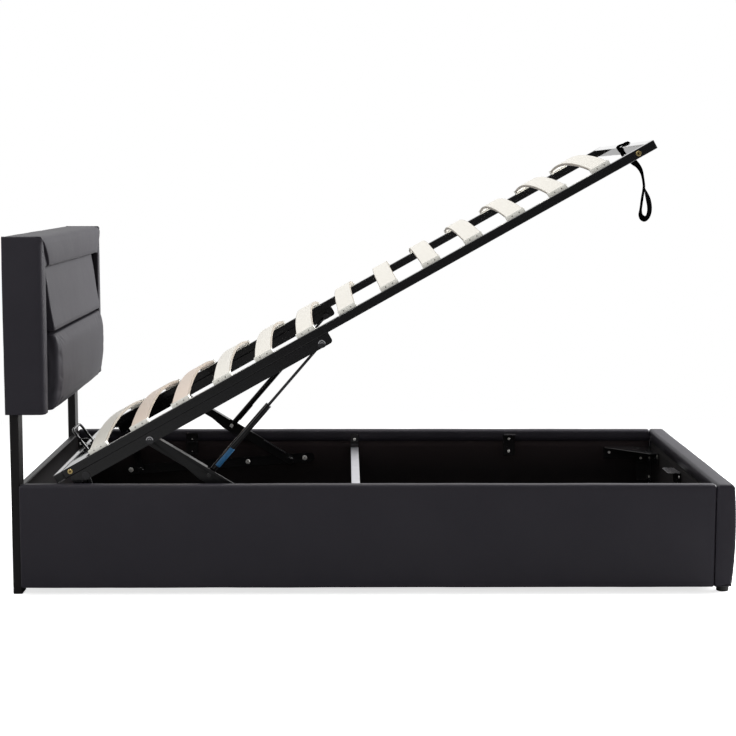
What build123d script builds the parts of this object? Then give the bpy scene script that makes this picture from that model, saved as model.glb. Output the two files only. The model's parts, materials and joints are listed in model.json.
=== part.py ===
from build123d import *
import math
import os

# Upholstered storage bed, gas lift platform shown open, millimetres
# X runs from the headboard to the footboard, Y across the bed, Z up
# The origin is the middle of the bed's outline on the floor

# Driving sizes of the whole bed
bed_length = 2024
bed_width = 1030
head_height = 996
rail_top = 311.5
rail_bottom = 21.7
cut_over = 5
part_gap = 0.3

# Side rails, a board wrapped in foam and leather
rail_thickness = 35
rail_board = 24
rail_face_foam = 8
rail_top_foam = 10
rail_wrap = 3
rail_lip = 36
rail_bottom_lip = 20
rail_edge_radius = 9
rail_low_radius = 4
rail_head_back = 32

# Footboard, the same wrap with a bulging outer face
footboard_thickness = 57
footboard_board = 22
footboard_bulge = 6.3
footboard_tuck = 9

# Head posts and the panel between them
post_depth = 25
post_width = 58
post_inset = 20
post_head_gap = 10
post_corner = 3
head_panel_thickness = 18
head_panel_drop = 8.5
head_panel_bottom = 30
head_panel_reach = 6

# Headboard box and its pads
headboard_rise = 195.5
head_box_depth = 80
head_box_wall = 15
head_skin = 3
wing_width = 40
wing_front = 112
wing_radius = 16
top_roll_height = 86
top_roll_front = 113.5
top_roll_radius = 20
top_roll_lower_radius = 10
roll_seam = ((92.5, 0), (77, 16), (61.5, 30), (36.3, 51), (5, 80), (4, 91))
lower_pad_share = 0.5422
upper_pad_top_out = 98
upper_pad_bottom_out = 125.5
pad_slit = 5
lower_pad_top_out = 121.5
lower_pad_belly_out = 137
lower_pad_bottom_out = 120
lower_pad_edge_radius = 20
lower_pad_side_radius = 12
lower_pad_belly_share = 0.654
pad_side_gap = 59
dust_cover_thickness = 1
dust_cover_inset = 30

# Round glides under the footboard
glide_radius = 17.5
glide_back = 33
glide_inset = 50
glide_edge = 2

# Storage floor and the strips that carry it
floor_thickness = 5
floor_strip = 15
floor_strip_bottom = 30
floor_gap = 1

# Crossbar in the middle of the base
crossbar_from_head = 965
crossbar_size = 25
crossbar_wall = 1.5
crossbar_drop = 55
hanger_plate = 2.5
hanger_width = 27
hanger_reach = 26
hanger_hood = 9
hanger_drop = 11.5
hanger_bolt_drop = 31

# Angle brackets that the closed platform lies on
ledge_drop = 10.8
ledge_width = 39
ledge_height = 74
ledge_reach = 40
ledge_plate = 3
ledge_from_head = 417
ledge_from_foot = 537
ledge_screw_shares = (0.25, 0.82)
angle_ledge_reach = 12.8
angle_ledge_drop = 38.5
foot_ledge_drop = 56.5
foot_ledge_width = 100
foot_ledge_height = 42
foot_ledge_reach = 40
foot_ledge_side = 25
foot_ledge_screw_share = 0.45
foot_ledge_screw_drop = 12.4
screw_head_radius = 4.5
screw_head_height = 2.2
screw_socket_radius = 2

# Corner plates that tie the rails to the footboard and to the head panel
corner_drop = 54.5
corner_plate = 3
corner_leg = 158
corner_cut = 30
corner_flange = 42
corner_upright = 44
corner_upright_height = 118
corner_rail_screws = ((31.5, 41), (139, 21))
corner_foot_screws = ((12, 38), (12, 103), (146, 9))

# Upright angles at the head corners
head_angle_leg = 30
head_angle_plate = 3
head_angle_height = 90
head_angle_drop = 26.5
head_angle_screw_shares = (0.2, 0.8)

# Lift platform, an open frame of square tube
platform_tilt = 29.35
platform_head_back = 119.8
platform_head_rise = 18.1
platform_short = 124
platform_side_gap = 10
tube = 25
tube_wall = 2
tube_corner = 2.5
tube_joint_gap = 0.3
head_splice = 27

# Angle iron under each side tube
angle_start = 40
angle_end = 865
angle_drop = 30
angle_plate = 3
angle_shelf = 30
angle_tip_radius = 9

# Bowed slats in end caps
slat_count = 13
slat_first = 144.6
slat_last = 159.4
slat_width = 52.5
slat_thickness = 8.5
slat_bow = 27
slat_end_inset = 12
cap_width = 55.5
cap_depth = 38
cap_height = 12
cap_wall = 1.6
cap_lift = 1.2
cap_fit = 0.2
cap_rivet_radius = 2.2
cap_rivet_height = 0.8
cap_rivet_apart = 22

# Brass bolts through the side tubes
brass_radius = 7.5
brass_height = 2.6
brass_socket_radius = 3
brass_socket_depth = 1.4
brass_near_head = 48
brass_near_foot = 53

# Wire loop that keeps the mattress from sliding to the head
loop_wire = 4
loop_span = 132
loop_height = 64
loop_lean = 8
loop_bend = 14
loop_seat = 10

# Lift linkage pivots, measured along and below the platform's top face
pivot_drop = 44
front_pivot_along = 285
rear_pivot_along = 80
strut_pivot_in = 30
front_base_back = 746.7
front_base_drop = 97.3
rear_base_back = 243.5
rear_base_drop = 132.8
strut_foot_along = 190.5

# Layers of the lift mechanism, from each rail inwards
bar_plate = 3
link_plate = 3
link_gap = 1.5
head_thickness = 2.5
washer_thickness = 1.2
pin_radius = 5
pin_fit = 0.05
strut_plane_in = 18
eye_thickness = 8

# Base bar on each rail
bar_width = 32
bar_head_over = 50
bar_foot_over = 82
bar_bolt_places = (-33.5, 361.5, 553.1)
bar_bolt_radius = 8
bar_bolt_height = 4.5

# Front link, an angle section with a notch for the strut
link_width = 30
link_flange = 25
link_flange_start = 24
link_swell = 9
link_swell_half = 34
link_notch_head = 14
link_notch_foot = 118
link_strip = 2.4
rear_link_width = 24
rivet_radius = 12
dome_share = 0.45
stud_head_radius = 9
stud_head_height = 4
stud_nut = 11
stud_tip_radius = 6.5
spacer_radius = 8

# Gas struts
cylinder_radius = 9
cylinder_start = 12
cylinder_length = 246
cylinder_collar = 2
rod_radius = 4
rod_inside = 62
rod_stroke = 128
rod_bore_gap = 0.3
eye_radius = 9.5
sleeve_radius = 10.6
sleeve_turn = 45
sleeve_half_turn = 68
sleeve_start = 33
sleeve_end = 98

# Pull strap, webbing round the foot tube with a hand loop
strap_width = 26
strap_thickness = 2
strap_clear = 0.4
strap_bend = 12
strap_loop_bend = 6
strap_side = -52
strap_route = ((16, -27.7), (43.5, -43.7), (49, -66.2), (48, -89.7))
strap_loop = ((42.5, -130.7), (40.5, -175.7), (56.5, -195.7), (71.5, -163.2), (66.5, -124.7))

# Places worked out from the sizes above
half_length = bed_length / 2
half_width = bed_width / 2
rail_inner = half_width - rail_thickness
rail_board_outer = half_width - rail_face_foam
rail_board_inner = rail_board_outer - rail_board
rail_face = rail_inner
rail_head_x = -half_length + rail_head_back
foot_inner_x = half_length - footboard_thickness
foot_board_x = foot_inner_x + rail_wrap
head_back_x = -half_length
lip_bottom = rail_top - rail_lip
foot_lining_x = foot_inner_x
floor_strip_top = floor_strip_bottom + floor_strip
head_box_back_x = head_back_x + head_skin
head_box_front_x = head_back_x + head_box_depth
head_wing_x = head_back_x + wing_front
head_box_bottom = rail_top + headboard_rise
top_roll_bottom = head_height - top_roll_height
upper_pad_top = top_roll_bottom - part_gap
lower_pad_top = head_box_bottom + (top_roll_bottom - head_box_bottom) * lower_pad_share
upper_pad_bottom = lower_pad_top + pad_slit
post_top = top_roll_bottom - post_head_gap
pad_back_x = head_box_front_x
post_front_x = rail_head_x
post_back_x = post_front_x - post_depth
post_outer = half_width - post_inset
post_inner = post_outer - post_width
panel_front_x = post_front_x + head_panel_reach
head_panel_top = rail_top - head_panel_drop
crossbar_x = head_back_x + crossbar_from_head
crossbar_top = rail_top - crossbar_drop
hanger_top = rail_top - hanger_drop
hanger_bolt_z = rail_top - hanger_bolt_drop
ledge_places = (head_back_x + ledge_from_head, half_length - ledge_from_foot)
ledge_top = rail_top - ledge_drop
angle_ledge_top = rail_top - angle_ledge_drop
foot_ledge_top = rail_top - foot_ledge_drop
corner_top = rail_top - corner_drop
head_angle_top = rail_top - head_angle_drop
head_angle_bottom = head_angle_top - head_angle_height
platform_head_x = head_back_x + platform_head_back
platform_head_z = rail_top + platform_head_rise
platform_length = bed_length - platform_short
platform_width = 2 * (rail_inner - platform_side_gap)
strut_pivot_along = angle_end - strut_pivot_in
slat_pitch = (platform_length - slat_first - slat_last) / (slat_count - 1)
front_base_x = head_back_x + front_base_back
front_base_z = rail_top - front_base_drop
rear_base_x = head_back_x + rear_base_back
rear_base_z = rail_top - rear_base_drop
tube_outer = platform_width / 2
tube_inner = tube_outer - tube
angle_outer = tube_outer
angle_inner_face = angle_outer - angle_plate
link_outer = angle_inner_face - link_gap
link_inner = link_outer - link_plate
bar_inner = rail_face - bar_plate
strut_centre = link_inner - strut_plane_in / 2 - eye_thickness / 2
eye_outer = strut_centre + eye_thickness / 2
eye_inner = strut_centre - eye_thickness / 2
slat_end_y = tube_outer - slat_end_inset
tilt = math.radians(platform_tilt)


def block(x0, x1, y0, y1, z0, z1):
    """A plain block between two corners."""
    size = Box(x1 - x0, y1 - y0, z1 - z0)
    return Pos((x0 + x1) / 2, (y0 + y1) / 2, (z0 + z1) / 2) * size


def across(points, y0, y1):
    """A solid with this outline in X and Z, from y0 to y1."""
    outline = make_face(Polyline(*[(x, y0, z) for x, z in points], close=True))
    return extrude(outline, amount=y1 - y0, dir=(0, 1, 0))


def along(points, x0, x1):
    """A solid with this outline in Y and Z, from x0 to x1."""
    outline = make_face(Polyline(*[(x0, y, z) for y, z in points], close=True))
    return extrude(outline, amount=x1 - x0, dir=(1, 0, 0))


def pin(x, z, radius, y0, y1):
    """A round pin across the bed."""
    return Pos(x, (y0 + y1) / 2, z) * Rot(90, 0, 0) * Cylinder(radius, abs(y1 - y0))


def other_side(shape):
    """The same shape on the far side of the bed."""
    return mirror(shape, about=Plane.XZ)


def on_platform(shape):
    """A shape drawn along the flat platform, set at its open tilt."""
    return Pos(platform_head_x, 0, platform_head_z) * Rot(0, -platform_tilt, 0) * shape


def platform_point(along_it, below):
    """The place in the bed of a point on the platform."""
    x = platform_head_x + along_it * math.cos(tilt) + below * math.sin(tilt)
    z = platform_head_z + along_it * math.sin(tilt) - below * math.cos(tilt)
    return x, z


def heading(start, end):
    """Length and angle in degrees from one point to another."""
    dx, dz = end[0] - start[0], end[1] - start[1]
    return math.hypot(dx, dz), math.degrees(math.atan2(dz, dx))


def placed(shape, point, angle):
    """A shape drawn along X from its pivot, turned and moved to a point."""
    return Pos(point[0], 0, point[1]) * Rot(0, -angle, 0) * shape


def save(shape, name):
    """Write one sub-part."""
    export_step(shape, "parts/" + name + ".step")


front_pivot = platform_point(front_pivot_along, pivot_drop)
rear_pivot = platform_point(rear_pivot_along, pivot_drop)
strut_pivot = platform_point(strut_pivot_along, pivot_drop)
front_base = (front_base_x, front_base_z)
rear_base = (rear_base_x, rear_base_z)
front_length, front_angle = heading(front_pivot, front_base)
rear_length, rear_angle = heading(rear_base, rear_pivot)
bar_length, bar_angle = heading(rear_base, front_base)
strut_foot = (
    front_pivot[0] + strut_foot_along * math.cos(math.radians(front_angle)),
    front_pivot[1] + strut_foot_along * math.sin(math.radians(front_angle)),
)
strut_length, strut_angle = heading(strut_foot, strut_pivot)


# Side rails
def rail_board_part():
    return block(rail_head_x, foot_inner_x - rail_wrap, -rail_board_outer, -rail_board_inner,
                 rail_bottom + rail_wrap, rail_top - rail_top_foam)


def rail_cover_part():
    """Foam and leather round the board, turned in at the top and the bottom."""
    outer = block(rail_head_x, foot_inner_x, -half_width, -rail_inner, rail_bottom, rail_top)
    top = outer.edges().filter_by(Axis.X).group_by(Axis.Z)[-1]
    outer = fillet(top, rail_edge_radius)
    low = outer.edges().filter_by(Axis.X).group_by(Axis.Z)[0].sort_by(Axis.Y)[0]
    outer = fillet(low, rail_low_radius)
    board = rail_board_part()
    window = block(rail_head_x - cut_over, foot_inner_x + cut_over, -rail_board_inner - cut_over,
                   -rail_inner + cut_over, rail_bottom + rail_bottom_lip, lip_bottom)
    end_wall = block(foot_inner_x - rail_wrap, foot_inner_x, -half_width, -rail_inner, rail_bottom, rail_top)
    return outer - board - (window - end_wall)


def rail_lining_part():
    """Black cloth behind the rail between the two turned edges."""
    return block(rail_head_x, foot_inner_x - rail_wrap, -rail_board_inner, -rail_face,
                 rail_bottom + rail_bottom_lip + part_gap, lip_bottom - part_gap)


# Footboard
def footboard_profile():
    """Outer outline of the footboard in X and Z, bulging a little outwards."""
    top_x = half_length - footboard_bulge
    low_x = half_length - footboard_tuck
    middle = rail_bottom + (rail_top - rail_bottom) / 2
    inner_low = (foot_inner_x, rail_bottom)
    inner_high = (foot_inner_x, rail_top)
    lines = [
        Line(inner_low, inner_high),
        Line(inner_high, (top_x, rail_top)),
        ThreePointArc((top_x, rail_top), (half_length, middle), (low_x, rail_bottom)),
        Line((low_x, rail_bottom), inner_low),
    ]
    return make_face(Plane.XZ * Wire(lines))


def footboard_board_part():
    return block(foot_board_x, foot_board_x + footboard_board, -rail_board_outer, rail_board_outer,
                 rail_bottom + rail_wrap, rail_top - rail_top_foam)


def footboard_cover_part():
    outer = extrude(footboard_profile(), amount=half_width, both=True)
    top = outer.edges().filter_by(Axis.Y).group_by(Axis.Z)[-1]
    outer = fillet(top, rail_edge_radius)
    window = block(foot_inner_x - cut_over, foot_board_x + cut_over, -rail_inner, rail_inner,
                   rail_bottom + rail_bottom_lip, lip_bottom)
    return outer - footboard_board_part() - window


def footboard_lining_part():
    return block(foot_lining_x, foot_board_x, -rail_inner + part_gap, rail_inner - part_gap,
                 rail_bottom + rail_bottom_lip + part_gap, lip_bottom - part_gap)


# Head posts and head panel
def post_part():
    body = block(post_back_x, post_front_x, -post_outer, -post_inner, 0, post_top)
    return fillet(body.edges().filter_by(Axis.Z), post_corner)


def head_panel_part():
    """Panel that closes the base between the two posts, stepped in front of them."""
    back_x = panel_front_x - head_panel_thickness
    panel = block(back_x, panel_front_x, -post_inner, post_inner, head_panel_bottom, head_panel_top)
    edge = block(post_front_x, panel_front_x, -rail_face, rail_face, head_panel_bottom, head_panel_top)
    strips = edge - block(back_x - cut_over, panel_front_x + cut_over, -post_inner, post_inner, 0, rail_top)
    body = panel + strips
    rounded = body.edges().filter_by(Axis.Y).group_by(Axis.Z)[-1].sort_by(Axis.X)[-1]
    return fillet(rounded, post_corner)


# Headboard
def post_slots(z0, z1):
    """Room for the two posts that run up inside the headboard."""
    near = block(post_back_x - part_gap, post_front_x + part_gap, -post_outer - part_gap,
                 -post_inner + part_gap, z0, z1)
    return near + other_side(near)


def head_box_part():
    """Timber box behind the pads, which slides down over the two posts."""
    side = half_width - head_skin
    low = head_box_bottom + head_skin
    box = block(head_box_back_x, head_box_front_x, -side, side, low, top_roll_bottom)
    room = block(head_box_back_x + head_box_wall, head_box_front_x - head_box_wall, -side + head_box_wall,
                 side - head_box_wall, low + head_box_wall, top_roll_bottom - head_box_wall)
    return box - room - post_slots(low - cut_over, post_top + part_gap)


def head_wrap_part():
    """Leather under the headboard and round the edge of its back."""
    side = half_width - head_skin
    outer = block(head_back_x, head_box_front_x, -side, side, head_box_bottom, top_roll_bottom)
    inner = block(head_box_back_x, head_box_front_x + cut_over, -half_width, half_width,
                  head_box_bottom + head_skin, head_height)
    back = block(head_back_x - cut_over, head_back_x + head_skin + cut_over, -half_width + dust_cover_inset,
                 half_width - dust_cover_inset, head_box_bottom + dust_cover_inset, head_height)
    return outer - inner - back - post_slots(0, head_box_bottom + head_skin + cut_over)


def dust_cover_part():
    """Black cloth over the back of the headboard."""
    inset = dust_cover_inset + part_gap
    return block(head_box_back_x - dust_cover_thickness, head_box_back_x, -half_width + inset,
                 half_width - inset, head_box_bottom + inset, top_roll_bottom)


def head_form(front_x, low, low_radius):
    """Full outline of the headboard, rounded at its front corners and along its top."""
    upright = block(head_back_x, front_x, -half_width, half_width, low, head_height)
    front_edges = upright.edges().filter_by(Axis.Y).group_by(Axis.X)[-1].sort_by(Axis.Z)
    upright = fillet(front_edges[-1], top_roll_radius)
    low_edge = upright.edges().filter_by(Axis.Y).group_by(Axis.Z)[0].sort_by(Axis.X)[-1]
    upright = fillet(low_edge, low_radius)
    plan = block(head_back_x, front_x, -half_width, half_width, low, head_height)
    corners = plan.edges().filter_by(Axis.Z).group_by(Axis.X)[-1]
    return upright & fillet(corners, wing_radius)


def wing_region():
    """Where the near wing lies in front, with the seam that runs up to its top corner."""
    edge = -half_width
    outline = [(edge - cut_over, 0), (edge + wing_width, 0), (edge + wing_width, top_roll_bottom)]
    outline += [(edge + inwards, top_roll_bottom + rise) for inwards, rise in roll_seam]
    outline.append((edge - cut_over, top_roll_bottom + roll_seam[-1][1]))
    return along(outline, head_back_x - cut_over, half_length)


def wing_part():
    """Padded side of the headboard, from its back edge round to its front strip."""
    body = head_form(head_wing_x, head_box_bottom, top_roll_lower_radius) & wing_region()
    room = block(head_back_x - cut_over, head_box_front_x, -half_width + head_skin, half_width,
                 0, top_roll_bottom)
    return body - room


def top_roll_part():
    """Padded roll that laps over the top of the pads between the two wings."""
    body = head_form(head_back_x + top_roll_front, top_roll_bottom, top_roll_lower_radius)
    region = wing_region()
    return body - region - other_side(region)


def upper_pad_part():
    """Wedge pad whose lower edge leans out of the headboard."""
    side = half_width - wing_width - pad_side_gap
    points = [(pad_back_x, upper_pad_bottom), (pad_back_x, upper_pad_top),
              (head_back_x + upper_pad_top_out, upper_pad_top),
              (head_back_x + upper_pad_bottom_out, upper_pad_bottom + lower_pad_edge_radius / 2),
              (head_back_x + upper_pad_bottom_out, upper_pad_bottom)]
    body = across(points, -side, side)
    front = body.edges().filter_by(Axis.Y).group_by(Axis.X)[-1]
    return fillet(front, lower_pad_edge_radius / 5)


def lower_pad_part():
    """Crowned cushion, fullest above its middle and rounded at its corners."""
    side = half_width - wing_width - pad_side_gap
    top_x = head_back_x + lower_pad_top_out
    low_x = head_back_x + lower_pad_bottom_out
    belly_x = head_back_x + lower_pad_belly_out
    belly_z = head_box_bottom + (lower_pad_top - head_box_bottom) * lower_pad_belly_share
    outline = Plane.XZ * Wire([
        Line((pad_back_x, head_box_bottom), (pad_back_x, lower_pad_top)),
        Line((pad_back_x, lower_pad_top), (top_x, lower_pad_top)),
        ThreePointArc((top_x, lower_pad_top), (belly_x, belly_z), (low_x, head_box_bottom)),
        Line((low_x, head_box_bottom), (pad_back_x, head_box_bottom)),
    ])
    body = extrude(make_face(outline), amount=side, both=True)
    top_edge = body.edges().filter_by(Axis.Y).group_by(Axis.Z)[-1].sort_by(Axis.X)[-1]
    body = fillet(top_edge, lower_pad_edge_radius / 2)
    low_edge = body.edges().filter_by(Axis.Y).group_by(Axis.Z)[0].sort_by(Axis.X)[-1]
    body = fillet(low_edge, lower_pad_edge_radius)
    rims = [edge for face in body.faces().filter_by(Axis.Y) for edge in face.edges()
            if edge.center().X > head_back_x + upper_pad_top_out]
    return fillet(rims, lower_pad_side_radius)


# Glides, storage floor and crossbar
def glides_part():
    body = Pos(foot_inner_x + glide_back, -half_width + glide_inset, rail_bottom / 2) * Cylinder(
        glide_radius, rail_bottom)
    rim = body.edges().group_by(Axis.Z)[0]
    body = chamfer(rim, glide_edge)
    return [body, other_side(body)]


def both_sides(pieces):
    """Pieces of the near side with their mirror images."""
    return pieces + [other_side(piece) for piece in pieces]


def storage_floor_part():
    return block(panel_front_x + floor_gap, foot_lining_x - floor_gap, -rail_face + floor_gap,
                 rail_face - floor_gap, floor_strip_top, floor_strip_top + floor_thickness)


def floor_strips_part():
    """Timber strips inside both rails that the storage floor lies on."""
    strip = block(panel_front_x, foot_lining_x, -rail_face, -rail_face + floor_strip,
                  floor_strip_bottom, floor_strip_top)
    return [strip, other_side(strip)]


def crossbar_part():
    """Square tube from hanger to hanger."""
    reach = rail_face - hanger_plate
    low = crossbar_top - crossbar_size
    half = crossbar_size / 2
    outer = block(crossbar_x - half, crossbar_x + half, -reach, reach, low, crossbar_top)
    inner = block(crossbar_x - half + crossbar_wall, crossbar_x + half - crossbar_wall, -reach - cut_over,
                  reach + cut_over, low + crossbar_wall, crossbar_top - crossbar_wall)
    return outer - inner


def hangers_part():
    """Bent plates on the rails that hold the crossbar's ends, each with its bolt."""
    half = crossbar_size / 2
    low = crossbar_top - crossbar_size
    back = block(crossbar_x - hanger_width / 2, crossbar_x + hanger_width / 2, -rail_face,
                 -rail_face + hanger_plate, low - hanger_plate, hanger_top)
    seat = block(crossbar_x - half, crossbar_x + half, -rail_face, -rail_face + hanger_reach,
                 low - hanger_plate, low)
    hood = crossbar_top + hanger_hood
    cap = block(crossbar_x - half, crossbar_x + half, -rail_face, -rail_face + hanger_reach,
                hood, hood + hanger_plate)
    lip = block(crossbar_x - half, crossbar_x + half, -rail_face + hanger_reach - hanger_plate,
                -rail_face + hanger_reach, crossbar_top + part_gap, hood)
    body = back + seat + cap + lip
    corner = body.edges().filter_by(Axis.Y).group_by(Axis.Z)[-1]
    body = fillet(corner, hanger_width / 5)
    return [body, other_side(body)]


# Ledge brackets that carry the closed platform
def ledge_bracket(width, height, reach, top, shelf_top):
    """An angle bracket drawn at the origin, its back on the plane Y = 0."""
    back = block(-width / 2, width / 2, 0, ledge_plate, top - height, top)
    shelf = block(-width / 2, width / 2, 0, reach, shelf_top - ledge_plate, shelf_top)
    body = back + shelf
    corners = body.edges().filter_by(Axis.Z).group_by(Axis.Y)[-1]
    body = fillet(corners, width / 8)
    low = body.edges().filter_by(Axis.Y).group_by(Axis.Z)[0]
    return fillet(low, width / 8)


def screw_head():
    """A pan head with a round socket, its seat at the origin, facing +Y."""
    head = Rot(-90, 0, 0) * Cylinder(screw_head_radius, screw_head_height,
                                     align=(Align.CENTER, Align.CENTER, Align.MIN))
    rim = head.edges().group_by(Axis.Y)[-1]
    head = fillet(rim, screw_head_height / 3)
    socket = Pos(0, screw_head_height, 0) * Rot(-90, 0, 0) * Cylinder(screw_socket_radius, screw_head_height)
    return head - socket


def ledge_brackets_part():
    under_angle = ledge_bracket(ledge_width, ledge_height, angle_ledge_reach, ledge_top, angle_ledge_top)
    under_tube = ledge_bracket(ledge_width, ledge_height, ledge_reach, ledge_top, ledge_top)
    shapes = (under_angle, under_tube)
    return both_sides([Pos(x, -rail_face, 0) * shape for x, shape in zip(ledge_places, shapes)])


def ledge_screws():
    rises = [ledge_top - ledge_height * share for share in ledge_screw_shares]
    return [Pos(x, -rail_face + ledge_plate, z) * screw_head() for x in ledge_places for z in rises]


def foot_ledge_part():
    shape = ledge_bracket(foot_ledge_width, foot_ledge_height, foot_ledge_reach, foot_ledge_top, foot_ledge_top)
    return Pos(foot_lining_x, foot_ledge_side, 0) * Rot(0, 0, 90) * shape


# Corner plates at the foot and angles at the head
def corner_plate_shape():
    """A cut-off plate with two flanges, its corner at the origin along -X and +Y."""
    leg, plate, cut = corner_leg, corner_plate, corner_cut
    outline = make_face(Polyline((0, 0), (-leg, 0), (-leg, cut), (-cut, leg), (0, leg), close=True))
    top = Pos(0, 0, corner_top - plate) * extrude(outline, amount=plate, dir=(0, 0, 1))
    first = block(-leg, 0, 0, plate, corner_top - corner_flange, corner_top)
    second = block(-plate, 0, 0, leg, corner_top - corner_flange, corner_top)
    low = corner_top - corner_upright_height
    first += block(-corner_upright, 0, 0, plate, low, corner_top)
    second += block(-plate, 0, 0, corner_upright, low, corner_top)
    hole = Pos(-leg / 3, leg / 3, corner_top) * Cylinder(cut / 4, 2 * plate)
    return top + first + second - hole


def corner_plates_part():
    return both_sides([Pos(foot_lining_x, -rail_face, 0) * corner_plate_shape()])


def corner_screws():
    """Screws on both flanges of a corner plate."""
    heads = []
    for place, drop in corner_rail_screws:
        heads.append(Pos(foot_lining_x - place, -rail_face + corner_plate, corner_top - drop) * screw_head())
    for place, drop in corner_foot_screws:
        seat = Pos(foot_lining_x - corner_plate, -rail_face + place, corner_top - drop)
        heads.append(seat * Rot(0, 0, 90) * screw_head())
    return heads


def foot_ledge_screws():
    """The two screws of the ledge bracket on the footboard."""
    z = foot_ledge_top - foot_ledge_screw_drop
    places = [foot_ledge_side + side * foot_ledge_width * foot_ledge_screw_share for side in (-1, 1)]
    return [Pos(foot_lining_x - ledge_plate, y, z) * Rot(0, 0, 90) * screw_head() for y in places]


def head_angles_part():
    """Upright angles in the two corners at the head."""
    leg, plate = head_angle_leg, head_angle_plate
    first = block(0, leg, 0, plate, head_angle_bottom, head_angle_top)
    second = block(0, plate, 0, leg, head_angle_bottom, head_angle_top)
    return both_sides([Pos(panel_front_x, -rail_face, 0) * (first + second)])


def head_angle_screws():
    height = head_angle_top - head_angle_bottom
    heads = []
    for share in head_angle_screw_shares:
        z = head_angle_bottom + height * share
        heads.append(Pos(panel_front_x + head_angle_leg / 2, -rail_face + head_angle_plate, z) * screw_head())
        heads.append(Pos(panel_front_x + head_angle_plate, -rail_face + head_angle_leg / 2, z)
                     * Rot(0, 0, -90) * screw_head())
    return heads


def base_screws_part():
    """Every screw head that shows on the brackets inside the base."""
    hanger = Pos(crossbar_x, -rail_face + hanger_plate, hanger_bolt_z) * screw_head()
    pairs = both_sides([hanger] + ledge_screws() + corner_screws() + head_angle_screws())
    return pairs + foot_ledge_screws()


# Lift linkage
def rounded_bar(start_x, end_x, half, y0, y1):
    """A flat bar along X with rounded ends round two centres."""
    middle = block(start_x, end_x, y0, y1, -half, half)
    return middle + pin(start_x, 0, half, y0, y1) + pin(end_x, 0, half, y0, y1)


def base_bar_part():
    """Bar along the rail that carries both fixed pivots."""
    half = bar_width / 2
    bar = rounded_bar(-bar_head_over + half, bar_length + bar_foot_over - half, half, -rail_face, -bar_inner)
    return placed(bar, rear_base, bar_angle)


def base_bar_bolts_part():
    """Domed bolt heads that hold the bar to its rail."""
    heads = []
    for place in bar_bolt_places:
        x = rear_base_x + place
        z = rear_base_z + place * math.tan(math.radians(bar_angle))
        body = pin(x, z, bar_bolt_radius, -bar_inner, -bar_inner + bar_bolt_height)
        rim = body.edges().group_by(Axis.Y)[-1]
        body = fillet(rim, bar_bolt_height * dome_share)
        socket = pin(x, z, screw_socket_radius, -bar_inner + bar_bolt_height / 2,
                     -bar_inner + 2 * bar_bolt_height)
        heads.append(body - socket)
    return both_sides(heads)


def base_pin(point):
    """Pin from the base bar through a link, with its spacer and its head."""
    spacer = pin(*point, spacer_radius, -bar_inner, -link_outer - part_gap)
    shank = pin(*point, pin_radius, -bar_inner, -link_inner + part_gap + stud_head_height)
    head = pin(*point, stud_head_radius, -link_inner + part_gap, -link_inner + part_gap + stud_head_height)
    rim = head.edges().group_by(Axis.Y)[-1]
    head = chamfer(rim, stud_head_height / 4)
    return spacer + shank + head


def base_pins_part():
    return both_sides([base_pin(front_base), base_pin(rear_base)])


def front_link_part():
    """Angle section link, swollen below the strut's stud and notched above it."""
    half = link_width / 2
    web = rounded_bar(0, front_length, half, -link_outer, -link_inner)
    swell = across([(strut_foot_along - 2 * link_swell_half, -half),
                    (strut_foot_along - link_swell_half / 2, -half - link_swell),
                    (strut_foot_along + link_swell_half / 2, -half - link_swell),
                    (strut_foot_along + 2 * link_swell_half, -half),
                    (strut_foot_along, half)], -link_outer, -link_inner)
    flange = block(link_flange_start, front_length - link_flange_start, -link_outer,
                   -link_inner + link_flange, half - link_plate, half)
    notch = block(strut_foot_along - link_notch_head, strut_foot_along + link_notch_foot,
                  -link_inner + link_strip, -link_inner + link_flange + cut_over,
                  half - link_plate - cut_over, half + cut_over)
    body = web + swell + (flange - notch)
    for place in (0, front_length, strut_foot_along):
        body = body - pin(place, 0, pin_radius + pin_fit, -link_outer - cut_over, -link_inner + cut_over)
    return placed(body, front_pivot, front_angle)


def strut_studs_part():
    """Studs on the front links that the struts' lower eyes turn on."""
    point = strut_foot
    outer = pin(*point, stud_tip_radius, -link_outer - washer_thickness, -link_outer)
    spacer = pin(*point, spacer_radius, -link_inner, -eye_outer - part_gap)
    shank = pin(*point, pin_radius, -link_outer - washer_thickness, -eye_inner + part_gap + stud_head_height)
    half = stud_nut / 2
    nut = block(-half, half, -eye_inner + part_gap, -eye_inner + part_gap + stud_head_height, -half, half)
    return both_sides([outer + spacer + shank + placed(nut, point, front_angle)])


def rear_link_part():
    """Short flat link from the base bar to the head end of the platform."""
    body = rounded_bar(0, rear_length, rear_link_width / 2, -link_outer, -link_inner)
    body = body - pin(0, 0, pin_radius + pin_fit, -link_outer - cut_over, -link_inner + cut_over)
    body = body - pin(rear_length, 0, pin_radius, -link_outer - cut_over, -link_inner + cut_over)
    return placed(body, rear_base, rear_angle)


def rear_link_rivets_part():
    """Inner halves of the rivets at the rear links' upper ends, held by the links."""
    shank = pin(*rear_pivot, pin_radius, -link_outer, -link_inner)
    head = pin(*rear_pivot, stud_head_radius, -link_inner, -link_inner + head_thickness)
    return both_sides([shank + head])


# Platform frame, drawn flat and set at its tilt when it is written
def hollow_tube(x0, x1, y0, y1, along_x):
    """A square tube below the platform's top face, open at both ends."""
    outer = block(x0, x1, y0, y1, -tube, 0)
    edges = outer.edges().filter_by(Axis.X if along_x else Axis.Y)
    outer = fillet(edges, tube_corner)
    wall = tube_wall
    if along_x:
        inner = block(x0 - cut_over, x1 + cut_over, y0 + wall, y1 - wall, -tube + wall, -wall)
    else:
        inner = block(x0 + wall, x1 - wall, y0 - cut_over, y1 + cut_over, -tube + wall, -wall)
    return outer - inner


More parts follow.
